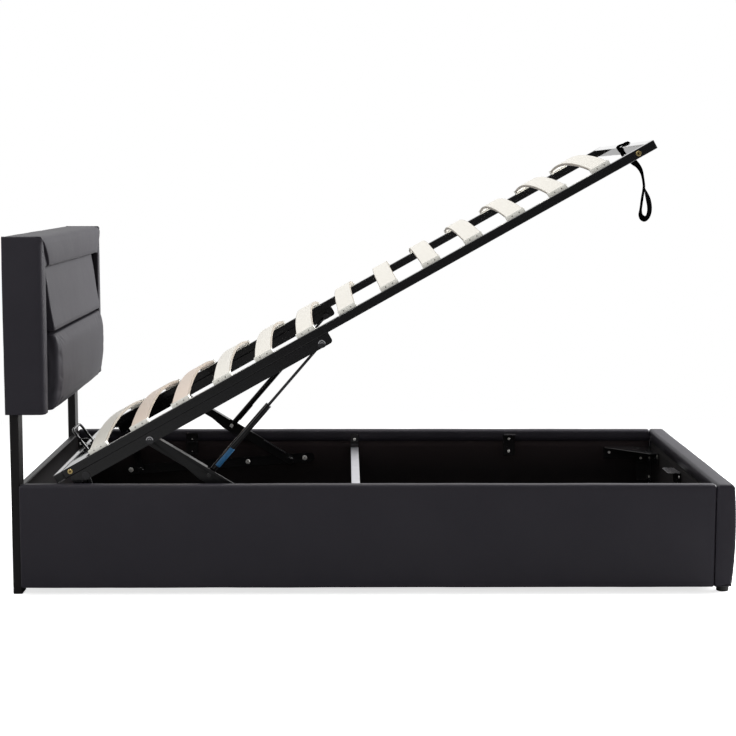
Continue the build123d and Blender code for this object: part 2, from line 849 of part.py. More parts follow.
def side_tube_part():
    """Side tube, open where its ends take the cross tubes."""
    return hollow_tube(head_splice, platform_length, -tube_outer, -tube_inner, True)


def head_tube_part():
    """Cross tube at the head end, across the ends of both side tubes."""
    return hollow_tube(0, head_splice - tube_joint_gap, -tube_outer, tube_outer, False)


def foot_tube_part():
    """Cross tube at the foot end, between the side tubes."""
    return hollow_tube(platform_length - tube, platform_length, -tube_inner, tube_inner, False)


def upper_angle_part():
    """Angle iron under the side tube that carries the linkage's upper pivots."""
    low = -tube - angle_drop
    web = block(angle_start, angle_end, -angle_outer, -angle_inner_face, low, -tube)
    tips = web.edges().filter_by(Axis.Y).group_by(Axis.Z)[0]
    web = fillet(tips, angle_tip_radius)
    shelf = block(angle_start, angle_end, -angle_outer, -angle_outer + angle_shelf, -tube - angle_plate, -tube)
    body = web + shelf
    for place in (front_pivot_along, rear_pivot_along, strut_pivot_along):
        body = body - pin(place, -pivot_drop, pin_radius, -angle_outer - cut_over, -angle_inner_face + cut_over)
    return on_platform(body)


def domed_head(point, radius, y_seat, height):
    """A low domed rivet head standing out from a face towards the rail."""
    body = pin(*point, radius, y_seat - height, y_seat)
    rim = body.edges().group_by(Axis.Y)[0]
    return fillet(rim, height * dome_share)


def front_rivet():
    """Rivet that the platform turns on, through the angle and the front link."""
    head = domed_head(front_pivot, rivet_radius, -angle_outer, head_thickness)
    shank = pin(*front_pivot, pin_radius, -angle_outer, -link_inner + part_gap + head_thickness)
    washer = pin(*front_pivot, spacer_radius, -angle_inner_face, -angle_inner_face + washer_thickness)
    inner = pin(*front_pivot, stud_head_radius, -link_inner + part_gap, -link_inner + part_gap + head_thickness)
    return head + shank + washer + inner


def rear_rivet():
    """Outer half of the rivet at the rear link, held by the angle."""
    head = domed_head(rear_pivot, rivet_radius, -angle_outer, head_thickness)
    shank = pin(*rear_pivot, pin_radius, -angle_outer, -angle_inner_face)
    washer = pin(*rear_pivot, spacer_radius, -angle_inner_face, -angle_inner_face + washer_thickness)
    return head + shank + washer


def strut_rivet():
    """Stud for the strut's upper eye, from the angle up to the eye's face."""
    head = domed_head(strut_pivot, rivet_radius, -angle_outer, head_thickness)
    shank = pin(*strut_pivot, pin_radius, -angle_outer, -angle_inner_face)
    spacer = pin(*strut_pivot, spacer_radius, -angle_inner_face, -eye_outer - part_gap)
    return head + shank + spacer


def platform_rivets_part():
    return both_sides([front_rivet(), rear_rivet(), strut_rivet()])


def slat_shape():
    """One laminated slat, bowed upwards across the platform."""
    end = slat_end_y
    low_end, low_middle = cap_lift, cap_lift + slat_bow
    high_end, high_middle = low_end + slat_thickness, low_middle + slat_thickness
    outline = Plane.YZ * Wire([
        ThreePointArc((-end, low_end), (0, low_middle), (end, low_end)),
        Line((end, low_end), (end, high_end)),
        ThreePointArc((end, high_end), (0, high_middle), (-end, high_end)),
        Line((-end, high_end), (-end, low_end)),
    ])
    return extrude(make_face(outline), amount=slat_width / 2, both=True)


def slat_places():
    return [slat_first + slat_pitch * number for number in range(slat_count)]


def cap_shape():
    """Plastic pocket on the near side tube that holds a slat's end."""
    outer_y = -slat_end_y - cap_wall
    body = block(-cap_width / 2, cap_width / 2, outer_y, outer_y + cap_depth, 0, cap_height)
    body = fillet(body.edges().filter_by(Axis.Z), cap_wall)
    return body - slat_room()


def slat_room():
    """Space that a slat takes up in its caps, with the fit round it."""
    end = slat_end_y + cap_fit
    slope = math.atan2(4 * slat_bow, 2 * slat_end_y)
    rise = cap_depth * math.tan(slope) * 2
    points = [(-end, cap_lift - cap_fit), (-end + 2 * cap_depth, cap_lift - cap_fit + rise),
              (-end + 2 * cap_depth, cap_lift + slat_thickness + cap_fit + 2 * rise),
              (-end, cap_lift + slat_thickness + cap_fit)]
    half = slat_width / 2 + cap_fit
    return along(points, -half, half)


def caps_part():
    return both_sides([Pos(place, 0, 0) * cap_shape() for place in slat_places()])


def cap_rivets_part():
    """Two small rivets on the outer face of every cap."""
    outer_y = -slat_end_y - cap_wall
    rivets = []
    for place in slat_places():
        for side in (-1, 1):
            x = place + side * cap_rivet_apart / 2
            rivets.append(pin(x, cap_height / 2, cap_rivet_radius, outer_y - cap_rivet_height, outer_y))
    return both_sides(rivets)


def brass_bolts_part():
    """Brass socket bolts through the outer faces of the side tubes."""
    heads = []
    for place in (brass_near_head, platform_length - brass_near_foot):
        body = domed_head((place, -tube / 2), brass_radius, -tube_outer, brass_height)
        socket = pin(place, -tube / 2, brass_socket_radius, -tube_outer - 2 * brass_height,
                     -tube_outer - brass_height + brass_socket_depth)
        heads.append(body - socket)
    return both_sides(heads)


def mattress_stop_part():
    """Bent wire loop on the head tube that stops the mattress sliding."""
    half = loop_span / 2
    bend = loop_bend
    path = FilletPolyline((0, -half, -loop_seat), (0, -half, loop_height), (0, half, loop_height),
                          (0, half, -loop_seat), radius=bend)
    section = Plane(origin=path @ 0, z_dir=path % 0) * Circle(loop_wire)
    body = sweep(section, path=path)
    body = Rot(0, -loop_lean, 0) * body
    return Pos(head_splice + loop_wire + part_gap, 0, 0) * body


# Gas struts, drawn along X from the lower eye
def strut_cylinder_part():
    """Strut cylinder with its lower eye and the seal collar at its top."""
    start = cylinder_start
    end = start + cylinder_length
    tube_body = Rot(0, 90, 0) * Cylinder(cylinder_radius, cylinder_length)
    tube_body = Pos(start + cylinder_length / 2, 0, 0) * tube_body
    rims = tube_body.edges().group_by(Axis.X)[-1]
    tube_body = fillet(rims, cylinder_collar)
    bore_start = end - rod_inside - rod_stroke
    bore = Pos(bore_start, 0, 0) * Rot(0, 90, 0) * Cylinder(
        rod_radius + rod_bore_gap, end + cut_over - bore_start, align=(Align.CENTER, Align.CENTER, Align.MIN))
    eye = pin(0, 0, eye_radius, -eye_thickness / 2, eye_thickness / 2)
    neck = block(0, start + cylinder_collar, -eye_thickness / 2, eye_thickness / 2, -rod_radius, rod_radius)
    hole = pin(0, 0, pin_radius + pin_fit, -eye_thickness, eye_thickness)
    body = tube_body - bore + eye + neck - hole
    return strut_place(body)


def strut_sleeve_part():
    """Plain plastic guard bonded along the outer lower side of the cylinder."""
    length = sleeve_end - sleeve_start
    middle = (sleeve_start + sleeve_end) / 2
    outer = Pos(middle, 0, 0) * Rot(0, 90, 0) * Cylinder(sleeve_radius, length)
    inner = Pos(middle, 0, 0) * Rot(0, 90, 0) * Cylinder(cylinder_radius, length + cut_over)
    rays = [(0, 0)]
    for turn in (sleeve_turn - sleeve_half_turn, sleeve_turn, sleeve_turn + sleeve_half_turn):
        angle = math.radians(turn)
        rays.append((-3 * sleeve_radius * math.cos(angle), -3 * sleeve_radius * math.sin(angle)))
    return strut_place((outer - inner) & along(rays, sleeve_start, sleeve_end))


def strut_rod_part():
    """Polished rod with its upper eye and the inner half of the upper pin."""
    tail = cylinder_start + cylinder_length - rod_inside
    length = strut_length - tail
    rod = Pos(tail + length / 2, 0, 0) * Rot(0, 90, 0) * Cylinder(rod_radius, length)
    eye = pin(strut_length, 0, eye_radius, -eye_thickness / 2, eye_thickness / 2)
    head = pin(strut_length, 0, stud_head_radius - cap_wall, eye_thickness / 2,
               eye_thickness / 2 + head_thickness)
    return strut_place(rod + eye + head)


def strut_place(shape):
    """Move a strut piece from its own axis to its open place on the near side."""
    return Pos(0, -strut_centre, 0) * placed(shape, strut_foot, strut_angle)


# Pull strap
def strap_part():
    """Webbing looped round the foot tube, hanging down to an open hand loop."""
    half = strap_width / 2
    skin = strap_thickness
    inner_x = platform_length - tube - strap_clear
    outer_x = platform_length + strap_clear
    low = -tube - strap_clear
    ring = block(inner_x - skin, outer_x + skin, -half, half, low - skin, strap_clear + skin)
    ring = ring - block(inner_x, outer_x, -half, half, low, strap_clear)
    start = platform_point((inner_x + outer_x) / 2, -low + skin / 2)
    route = [(start[0] + x, start[1] + z) for x, z in strap_route]
    hand = [(start[0] + x, start[1] + z) for x, z in strap_loop]
    tail = ribbon(FilletPolyline(start, *route, radius=strap_bend))
    loop = ribbon(FilletPolyline(route[-1], *hand, radius=strap_loop_bend))
    back = ribbon(Line(hand[-1], route[-1]))
    return Pos(0, strap_side, 0) * (on_platform(ring) + (tail + loop + back))


def ribbon(line):
    """Webbing on edge along a line drawn in X and Z."""
    face = Plane.XZ * trace(line, line_width=strap_thickness)
    return extrude(face, amount=strap_width / 2, both=True)


# Every sub-part, the near side's shapes mirrored where the far side has them too
single_parts = {
    "footboard_board": footboard_board_part,
    "footboard_cover": footboard_cover_part,
    "head_panel": head_panel_part,
    "headboard_box": head_box_part,
    "headboard_wrap": head_wrap_part,
    "headboard_dust_cover": dust_cover_part,
    "headboard_top_roll": top_roll_part,
    "headboard_upper_pad": upper_pad_part,
    "headboard_lower_pad": lower_pad_part,
    "storage_floor": storage_floor_part,
    "crossbar": crossbar_part,
    "foot_ledge": foot_ledge_part,
    "mattress_stop": lambda: on_platform(mattress_stop_part()),
    "head_tube": lambda: on_platform(head_tube_part()),
    "foot_tube": lambda: on_platform(foot_tube_part()),
    "pull_strap": strap_part,
}

side_parts = {
    "rail_board": rail_board_part,
    "rail_cover": rail_cover_part,
    "headboard_wing": wing_part,
    "side_tube": lambda: on_platform(side_tube_part()),
}

grouped_parts = {
    "base_linings": lambda: both_sides([rail_lining_part()]) + [footboard_lining_part()],
    "head_posts": lambda: both_sides([post_part()]),
    "glides": glides_part,
    "floor_strips": floor_strips_part,
    "crossbar_hangers": hangers_part,
    "ledge_brackets": ledge_brackets_part,
    "corner_brackets": lambda: corner_plates_part() + head_angles_part(),
    "base_screws": base_screws_part,
    "base_bars": lambda: both_sides([base_bar_part()]),
    "base_bar_bolts": base_bar_bolts_part,
    "base_pins": base_pins_part,
    "front_links": lambda: both_sides([front_link_part()]),
    "strut_studs": strut_studs_part,
    "rear_links": lambda: both_sides([rear_link_part()]),
    "rear_link_rivets": rear_link_rivets_part,
    "upper_angles": lambda: both_sides([upper_angle_part()]),
    "platform_rivets": platform_rivets_part,
    "slat_caps": lambda: [on_platform(piece) for piece in caps_part() + cap_rivets_part()],
    "brass_bolts": lambda: [on_platform(bolt) for bolt in brass_bolts_part()],
    "strut_cylinders": lambda: both_sides([strut_cylinder_part()]),
    "strut_sleeves": lambda: both_sides([strut_sleeve_part()]),
    "strut_rods": lambda: both_sides([strut_rod_part()]),
}

os.makedirs("parts", exist_ok=True)
for name, make in single_parts.items():
    save(make(), name)
for name, make in side_parts.items():
    shape = make()
    save(shape, name + "_near")
    save(other_side(shape), name + "_far")
for name, make in grouped_parts.items():
    save(Compound(children=[piece.solid() for piece in make()]), name)
for number, place in enumerate(slat_places(), start=1):
    save(on_platform(Pos(place, 0, 0) * slat_shape()), f"slat_{number:02d}")
print("strut length open", round(strut_length, 1), "front link", round(front_length, 1))
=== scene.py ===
import json
from math import cos, pi, radians, sin, sqrt, tan, tanh

import bmesh
import bpy
from mathutils import Matrix, Vector, noise


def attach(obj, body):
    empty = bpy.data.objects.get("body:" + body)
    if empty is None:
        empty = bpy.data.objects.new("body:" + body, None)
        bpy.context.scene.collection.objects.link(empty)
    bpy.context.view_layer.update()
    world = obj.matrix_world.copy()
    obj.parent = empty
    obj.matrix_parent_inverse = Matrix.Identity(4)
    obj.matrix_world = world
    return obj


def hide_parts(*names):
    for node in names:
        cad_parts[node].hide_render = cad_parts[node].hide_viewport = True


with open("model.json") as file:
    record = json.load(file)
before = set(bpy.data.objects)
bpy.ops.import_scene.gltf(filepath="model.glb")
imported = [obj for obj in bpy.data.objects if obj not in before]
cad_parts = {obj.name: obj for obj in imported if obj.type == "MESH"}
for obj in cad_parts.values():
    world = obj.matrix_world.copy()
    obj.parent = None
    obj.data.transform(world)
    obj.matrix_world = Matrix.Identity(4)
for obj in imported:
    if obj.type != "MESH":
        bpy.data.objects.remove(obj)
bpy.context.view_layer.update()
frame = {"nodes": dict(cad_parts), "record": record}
nodes = frame["nodes"]
scene = bpy.context.scene
print("frame loaded with", len(nodes), "parts")


# a Wire is one output socket of a node tree, and sums on it add Math nodes
class Wire:
    def __init__(self, graph, socket):
        self.graph = graph
        self.socket = socket

    def __add__(self, other):
        return self.graph.maths("ADD", self, other)

    def __sub__(self, other):
        return self.graph.maths("SUBTRACT", self, other)

    def __mul__(self, other):
        return self.graph.maths("MULTIPLY", self, other)

    def __gt__(self, other):
        return self.graph.maths("GREATER_THAN", self, other)


# adds nodes to a tree and feeds their sockets from wires or plain values
class Graph:
    def __init__(self, tree):
        self.tree = tree

    def node(self, kind, settings=None, sockets=None, out=0):
        made = self.tree.nodes.new(kind)
        for key, value in (settings or {}).items():
            setattr(made, key, value)
        for key, value in (sockets or {}).items():
            self.feed(made.inputs[key], value)
        return Wire(self, made.outputs[out]) if len(made.outputs) else None

    def feed(self, socket, value):
        if isinstance(value, Wire):
            self.tree.links.new(value.socket, socket)
        elif socket.type == "RGBA":
            socket.default_value = (*value, 1)
        else:
            socket.default_value = value

    def maths(self, operation, first, second=0.0):
        return self.node("ShaderNodeMath", {"operation": operation}, {0: first, 1: second})

    def vectors(self, operation, first, second=(0, 0, 0), out=0):
        return self.node("ShaderNodeVectorMath", {"operation": operation}, {0: first, 1: second}, out)

    def part(self, vector, axis):
        return self.node("ShaderNodeSeparateXYZ", {}, {0: vector}, "XYZ".index(axis))

    def spot(self, x=0.0, y=0.0, z=0.0):
        return self.node("ShaderNodeCombineXYZ", {}, {0: x, 1: y, 2: z})

    def stored(self, geometry, domain, name, value):
        return self.node("GeometryNodeStoreNamedAttribute", {"data_type": "FLOAT", "domain": domain},
                         {"Geometry": geometry, "Name": name, "Value": value})

    def ray(self, kind):
        return self.node("ShaderNodeLightPath", out=kind)

    def spread(self, factor, low=0.0, high=1.0, start=0.0, end=1.0, easing="LINEAR"):
        sockets = {"Value": factor, "From Min": start, "From Max": end, "To Min": low, "To Max": high}
        return self.node("ShaderNodeMapRange", {"interpolation_type": easing}, sockets)


class Finish(Graph):
    def __init__(self, name):
        self.material = bpy.data.materials.new(name)
        self.material.use_nodes = True
        super().__init__(self.material.node_tree)
        self.tree.nodes.clear()

    def place(self, stretch=(1, 1, 1)):
        where = self.node("ShaderNodeTexCoord", out="Object")
        return self.node("ShaderNodeMapping", {}, {"Vector": where, "Scale": stretch})

    def measure(self, axis):
        return self.part(self.place(), axis)

    def cloud(self, scale, detail=3.0, where=None, rough=0.5):
        sockets = {"Vector": where or self.place(), "Scale": scale, "Detail": detail, "Roughness": rough}
        return self.node("ShaderNodeTexNoise", {}, sockets)

    def cells(self, scale, where=None):
        settings = {"feature": "SMOOTH_F1"}
        return self.node("ShaderNodeTexVoronoi", settings, {"Vector": where or self.place(), "Scale": scale})

    def mixed(self, factor, first, second):
        return self.node("ShaderNodeMix", {"data_type": "RGBA"}, {0: factor, 6: first, 7: second}, 2)

    def surface(self, kind, sockets):
        self.node("ShaderNodeOutputMaterial", {}, {"Surface": self.node(kind, {}, sockets)})
        return self.material

    def coat(self, colour, gloss, bumps=None, others=None):  # bumps: height, strength and depth
        sockets = {"Base Color": colour, "Roughness": gloss, **(others or {})}
        if bumps:
            sockets["Normal"] = self.node("ShaderNodeBump", {}, dict(zip(("Height", "Strength", "Distance"), bumps)))
        return self.surface("ShaderNodeBsdfPrincipled", sockets)


# camera and studio
cameraPlace = {"at": (-0.0774, -4.9088, 1.1479), "yaw": 0.014, "down": 0.1155, "roll": 0.002, "lens": 78.87}
studio = {
    "background": 1.0, "fill": 0.52, "frontGlow": 0.13, "glowEdge": 0.5, "wallEdge": 0.05, "floorTone": 0.9,
    "floorGlossy": 0.3, "floorLift": 0.72, "floorBehind": 0.45, "litFrom": -0.4, "litTo": 0.6, "paperNear": 1.3,
    "paperFar": 3.2,
}
lamps = {  # place, aim, size, power
    "sideSoftbox": ((3.5, 1.3, 1.9), (-0.6, 0, 0.6), (2.4, 2.4), 400),
    "topSoftbox": ((-0.6, 0.2, 3.6), (0, 0, 0.4), (3.2, 2.4), 52),
    "leftSoftbox": ((-3.0, -2.4, 2.2), (0, 0, 0.5), (2.0, 2.0), 20),
    "sparkSoftbox": ((-1.6, -4.4, 2.9), (0, 0, 0.4), (0.5, 0.5), 16),
}


def addObject(name, data):
    made = bpy.data.objects.new(name, data)
    scene.collection.objects.link(made)
    return made


def evaluated(piece):
    return piece.evaluated_get(bpy.context.evaluated_depsgraph_get())


def makeCamera(v):
    yaw, down, roll = v["yaw"], v["down"], v["roll"]
    ahead = Vector((sin(yaw) * cos(down), cos(yaw) * cos(down), -sin(down)))
    right = ahead.cross(Vector((0, 0, 1))).normalized()
    up = right.cross(ahead)
    turned = right * cos(roll) + up * sin(roll)
    up = turned.cross(ahead)
    camera = addObject("photoCamera", bpy.data.cameras.new("photoCamera"))
    camera.matrix_world = Matrix.Translation(v["at"]) @ Matrix((turned, up, -ahead)).transposed().to_4x4()
    camera.data.lens = v["lens"]
    camera.data.sensor_width = 36
    camera.data.clip_end = 60
    scene.camera = camera


def makeLamp(name, place, aim, size, power):
    data = bpy.data.lights.new(name, "AREA")
    data.shape = "RECTANGLE"
    data.size, data.size_y = size
    data.energy = power
    lamp = addObject(name, data)
    lamp.location = place
    lamp.rotation_euler = (Vector(aim) - Vector(place)).to_track_quat("-Z", "Y").to_euler()


# a white room, in which glossy rays see a wall that is white only behind the bed
def makeWorld(v):
    world = bpy.data.worlds.new("studio")
    scene.world = world
    world.use_nodes = True
    world.node_tree.nodes.clear()
    room = Graph(world.node_tree)
    deep = room.part(room.node("ShaderNodeTexCoord", out="Generated"), "Y")
    wall = room.spread(deep, v["frontGlow"], v["background"], -v["glowEdge"], v["wallEdge"], "SMOOTHSTEP")
    lit = room.node("ShaderNodeMix", {}, {0: room.ray("Is Glossy Ray"), 2: v["fill"], 3: wall})
    direct = room.maths("MAXIMUM", room.ray("Is Camera Ray"), room.ray("Is Transmission Ray"))
    strength = room.node("ShaderNodeMix", {}, {0: direct, 2: lit, 3: v["background"]})
    back = room.node("ShaderNodeBackground", {}, {"Color": (1, 1, 1), "Strength": strength})
    room.node("ShaderNodeOutputWorld", {}, {"Surface": back})


# white paper that fades into the background, with a lit floor behind the bed for glossy rays
def makeFloor(v):
    look = Finish("floorPaper")
    camera, glossy = look.ray("Is Camera Ray"), look.ray("Is Glossy Ray")
    where = look.node("ShaderNodeTexCoord", out="Object")
    apart = look.vectors("LENGTH", where, out=1)
    white = look.spread(apart, 0.0, 1.0, v["paperNear"], v["paperFar"], "SMOOTHSTEP")
    tone = look.mixed(glossy, (v["floorTone"],) * 3, (v["floorGlossy"],) * 3)
    paper = look.node("ShaderNodeBsdfDiffuse", {}, {"Color": tone})
    behind = look.spread(look.part(where, "Y"), 0.0, 1.0, v["litFrom"], v["litTo"])
    lift = camera * v["floorLift"] + glossy * behind * v["floorBehind"]
    glow = look.node("ShaderNodeEmission", {}, {"Color": (1, 1, 1), "Strength": lift})
    both = look.node("ShaderNodeAddShader", {}, {0: paper, 1: glow})
    bright = look.node("ShaderNodeEmission", {}, {"Color": (1, 1, 1), "Strength": 1.0})
    look.surface("ShaderNodeMixShader", {0: white * camera, 1: both, 2: bright})
    mesh = bpy.data.meshes.new("floor")
    mesh.from_pydata([(-9, -7, 0), (9, -7, 0), (9, 12, 0), (-9, 12, 0)], [], [(0, 1, 2, 3)])
    mesh.materials.append(look.material)
    floor = addObject("floor", mesh)


makeCamera(cameraPlace)
makeWorld(studio)
makeFloor(studio)
for name, values in lamps.items():
    makeLamp(name, *values)
scene.view_settings.view_transform = "Standard"
print("camera and studio ready")

# the open platform's own directions
tilt = radians(29.35)
platformHead = Vector((-0.8922, 0.0, 0.3296))
alongPlatform = Vector((cos(tilt), 0, sin(tilt)))
offPlatform = Vector((-sin(tilt), 0, cos(tilt)))


def onPlatform(along, off, y=0.0):
    return platformHead + alongPlatform * along + offPlatform * off + Vector((0, y, 0))


# finishes
leatherLook = {
    "tone": (0.0166, 0.0149, 0.021), "worn": (0.025, 0.0226, 0.0292), "dip": (0.0062, 0.0056, 0.008),
    "grain": 640, "depth": 0.00035, "gloss": (0.42, 0.56),
}


def leather():
    v = leatherLook
    look = Finish("blackLeather")
    broad = look.cloud(5.0, 4.0)
    pebble = look.cells(v["grain"])
    creases = look.cloud(160.0, 4.0, rough=0.6)
    colour = look.mixed(broad, v["tone"], v["worn"])
    colour = look.mixed(look.spread(pebble, 0.25, 0.0), colour, v["dip"])
    gloss = look.spread(broad * 0.6 + creases * 0.4, *v["gloss"])
    return look.coat(colour, gloss, (pebble * 0.7 + creases * 0.3, 0.35, v["depth"]),
                     {"IOR": 1.4, "Specular IOR Level": 0.32})


steelLook = {
    "tone": (0.0013, 0.0013, 0.0018), "dust": (0.0034, 0.0034, 0.004), "plate": (0.0085, 0.008, 0.0085),
    "shelf": (0.13, 0.127, 0.133), "shelfTop": 0.2546, "strut": (0.0008, 0.0008, 0.001), "peel": 380,
    "gloss": (0.13, 0.21),
}


def blackSteel(name="blackPowderCoat", tone=None, gloss=None, shelfTop=None, coat=0.5, coatIor=1.5):
    v = steelLook
    look = Finish(name)
    peel = look.cloud(v["peel"], 2.0)
    dust = look.cloud(14.0, 5.0, rough=0.65)
    colour = look.mixed(dust, tone or v["tone"], tone or v["dust"])
    # painted highlight: the foot ledge is coloured light above shelfTop, standing for its lit top edge
    if shelfTop:
        colour = look.mixed(look.measure("Z") > shelfTop, colour, v["shelf"])
    return look.coat(colour, look.spread(dust, *(gloss or v["gloss"])), (peel, 0.08, 0.0001), {
        "Specular IOR Level": 0.4, "Coat Weight": coat, "Coat Roughness": 0.07, "Coat IOR": coatIor,
    })


timberLook = {"tone": (0.0024, 0.0016, 0.0019), "streak": (0.0052, 0.0038, 0.0042), "gloss": (0.36, 0.5)}


def darkTimber():
    v = timberLook
    look = Finish("stainedTimber")
    grain = look.cloud(9.0, 8.0, look.place((14, 14, 0.9)), 0.62)
    pores = look.cloud(90.0, 3.0, look.place((3, 3, 0.25)))
    return look.coat(look.mixed(grain, v["tone"], v["streak"]), look.spread(grain, *v["gloss"]),
                     (grain * 0.5 + pores * 0.5, 0.3, 0.0005), {"Specular IOR Level": 0.35})


boardLook = {
    "raw": ((0.27, 0.19, 0.12), (0.45, 0.34, 0.22)), "faced": ((0.006, 0.005, 0.005), (0.01, 0.009, 0.009)),
}


def chipBoard(name, kind):
    look = Finish(name)
    chips = look.cells(150.0, look.place((1, 1, 2.4)))
    broad = look.cloud(12.0, 5.0)
    colour = look.mixed(chips * 0.6 + broad * 0.4, *boardLook[kind])
    return look.coat(colour, look.spread(chips, 0.6, 0.78), (chips, 0.25, 0.0006))


clothLook = {
    "tone": (0.0024, 0.0017, 0.0019), "fibre": (0.006, 0.0046, 0.005), "lit": (0.0125, 0.0085, 0.0092),
    "litFrom": 0.17, "litTo": 0.26, "farSide": 0.48,
}


def darkCloth():  # light from the open side reaches the far lining's upper half
    v = clothLook
    look = Finish("blackLining")
    fibres = look.cloud(420.0, 5.0, look.place((1, 1, 0.6)), 0.7)
    points = look.cells(330.0)
    colour = look.mixed(fibres, v["tone"], v["fibre"])
    lit = look.spread(look.measure("Z"), 0.0, 1.0, v["litFrom"], v["litTo"]) * (look.measure("Y") > v["farSide"])
    return look.coat(look.mixed(lit, colour, v["lit"]), 0.9, (points * 0.5 + fibres * 0.5, 0.4, 0.0004),
                     {"Specular IOR Level": 0.15})


webbingLook = {"dip": (0.0006, 0.0006, 0.0006), "rib": (0.0018, 0.0018, 0.002)}


def webbing():
    look = Finish("blackWebbing")
    spot = look.node("ShaderNodeUVMap", {"uv_map": "weave"})
    ribs = look.node("ShaderNodeTexWave", {"bands_direction": "X"},
                     {"Vector": spot, "Scale": 130.0, "Distortion": 0.6, "Detail": 1.0})
    across = look.node("ShaderNodeTexWave", {"bands_direction": "Y"}, {"Vector": spot, "Scale": 210.0})
    weave = ribs * 0.6 + across * 0.4
    colour = look.mixed(weave, webbingLook["dip"], webbingLook["rib"])
    return look.coat(colour, 0.9, (weave, 0.2, 0.0003), {"Specular IOR Level": 0.0})


plasticLook = {
    "glide": ((0.012, 0.012, 0.012), (0.02, 0.02, 0.02)), "cap": ((0.82, 0.81, 0.75), (0.74, 0.725, 0.66)),
}
capRivets = {
    "tone": (0.27, 0.26, 0.24), "first": 0.1446, "pitch": 0.133, "apart": 0.011, "above": 0.006, "size": 0.0021,
}


# two rivet heads on each slat cap
def rivetDots(look):
    v = capRivets
    spot = look.vectors("SUBTRACT", look.place(), platformHead)
    along = look.vectors("DOT_PRODUCT", spot, alongPlatform, 1)
    above = look.vectors("DOT_PRODUCT", spot, offPlatform, 1) - v["above"]
    turn = look.maths("FRACT", (along - v["first"]) * (1 / v["pitch"]) + 0.5)
    aside = look.maths("ABSOLUTE", (turn - 0.5) * v["pitch"]) - v["apart"]
    return look.maths("LESS_THAN", look.maths("SQRT", aside * aside + above * above), v["size"])


def plastic(name, kind, gloss, dots=False):
    look = Finish(name)
    spark = look.cloud(520.0, 2.0)
    broad = look.cloud(22.0, 4.0)
    colour = look.mixed(broad, *plasticLook[kind])
    if dots:
        colour = look.mixed(rivetDots(look), colour, capRivets["tone"])
    return look.coat(colour, look.spread(broad, gloss, gloss + 0.12), (spark, 0.15, 0.0002))


metalLook = {
    "galvanised": ((0.66, 0.66, 0.69), (0.52, 0.52, 0.56)), "zinc": ((0.9, 0.89, 0.86), (0.72, 0.71, 0.68)),
    "dark": ((0.03, 0.03, 0.032), (0.018, 0.018, 0.02)), "brass": ((0.9, 0.71, 0.33), (0.72, 0.54, 0.22)),
    "rod": ((0.05, 0.05, 0.053), (0.085, 0.085, 0.09)),
}
boltLook = {  # the heads' middles, then their rings: inner and outer radius, tone, upper half only
    "brass": ([(-0.8442, 0.3422), (0.7238, 1.224)], [(0.0, 0.003, (0.16, 0.09, 0.03), False)]),
    # bars: a dark middle and a dark ring on each domed bolt head, painted as its reflection
    "bars": ([(-0.802, 0.1763), (-0.407, 0.2042), (-0.2154, 0.2177)],
             [(0.0, 0.0026, (0.03, 0.03, 0.03), False), (0.0052, 0.0064, (0.06, 0.06, 0.06), False)]),
    # rivets: light rings on the upper half of each dome, painted highlights
    "rivets": ([(-0.6222, 0.4309), (-0.1428, 0.7005)],
               [(0.0075, 0.01, (0.34, 0.34, 0.35), True), (0.0025, 0.0045, (0.26, 0.26, 0.27), True)]),
    # ledges: painted shade over each zinc screw head, leaving a small bright middle as a painted highlight
    "ledges": ([(-0.595, 0.2822), (-0.595, 0.24)], [(0.0019, 0.007, (0.012, 0.012, 0.013), False)]),
}


# rings of colour round the heads' middles: painted highlights, shade and reflections on the rivets, bar bolts and
# ledge screws, and a dark middle on the brass bolts
def ringed(look, colour, middles, rings):
    flat = look.place((1, 0, 1))
    for low, high, tone, upper in rings:
        for x, z in middles:
            apart = look.vectors("DISTANCE", flat, (x, 0, z), 1)
            ring = look.maths("LESS_THAN", apart, high) * (apart > low)
            if upper:
                ring = ring * (look.part(flat, "Z") > z)
            colour = look.mixed(ring, colour, tone)
    return colour


def brightMetal(name, kind, gloss, stretch=(1, 1, 1), strength=0.15, metallic=1.0, bolts=None):
    look = Finish(name)
    brushed = look.cloud(240.0, 5.0, look.place(stretch), 0.6)
    stain = look.cloud(34.0, 4.0)
    colour = look.mixed(stain, *metalLook[kind])
    if bolts:
        colour = ringed(look, colour, *boltLook[bolts])
    rough = look.spread(brushed * 0.5 + stain * 0.5, gloss, gloss + 0.2)
    return look.coat(colour, rough, (brushed, strength, 0.0002), {"Metallic": metallic})


slatLook = {
    "pale": (0.83, 0.8, 0.725), "warm": (0.8, 0.665, 0.56), "line": (0.62, 0.55, 0.45), "cut": (0.2, 0.165, 0.125),
    "glue": (0.2, 0.15, 0.1), "headPaintedLight": (0.95, 0.92, 0.84), "footPaintedShade": (0.7, 0.68, 0.625),
    "headSpot": -0.78, "footSpot": 0.72, "plies": 5.0,
}


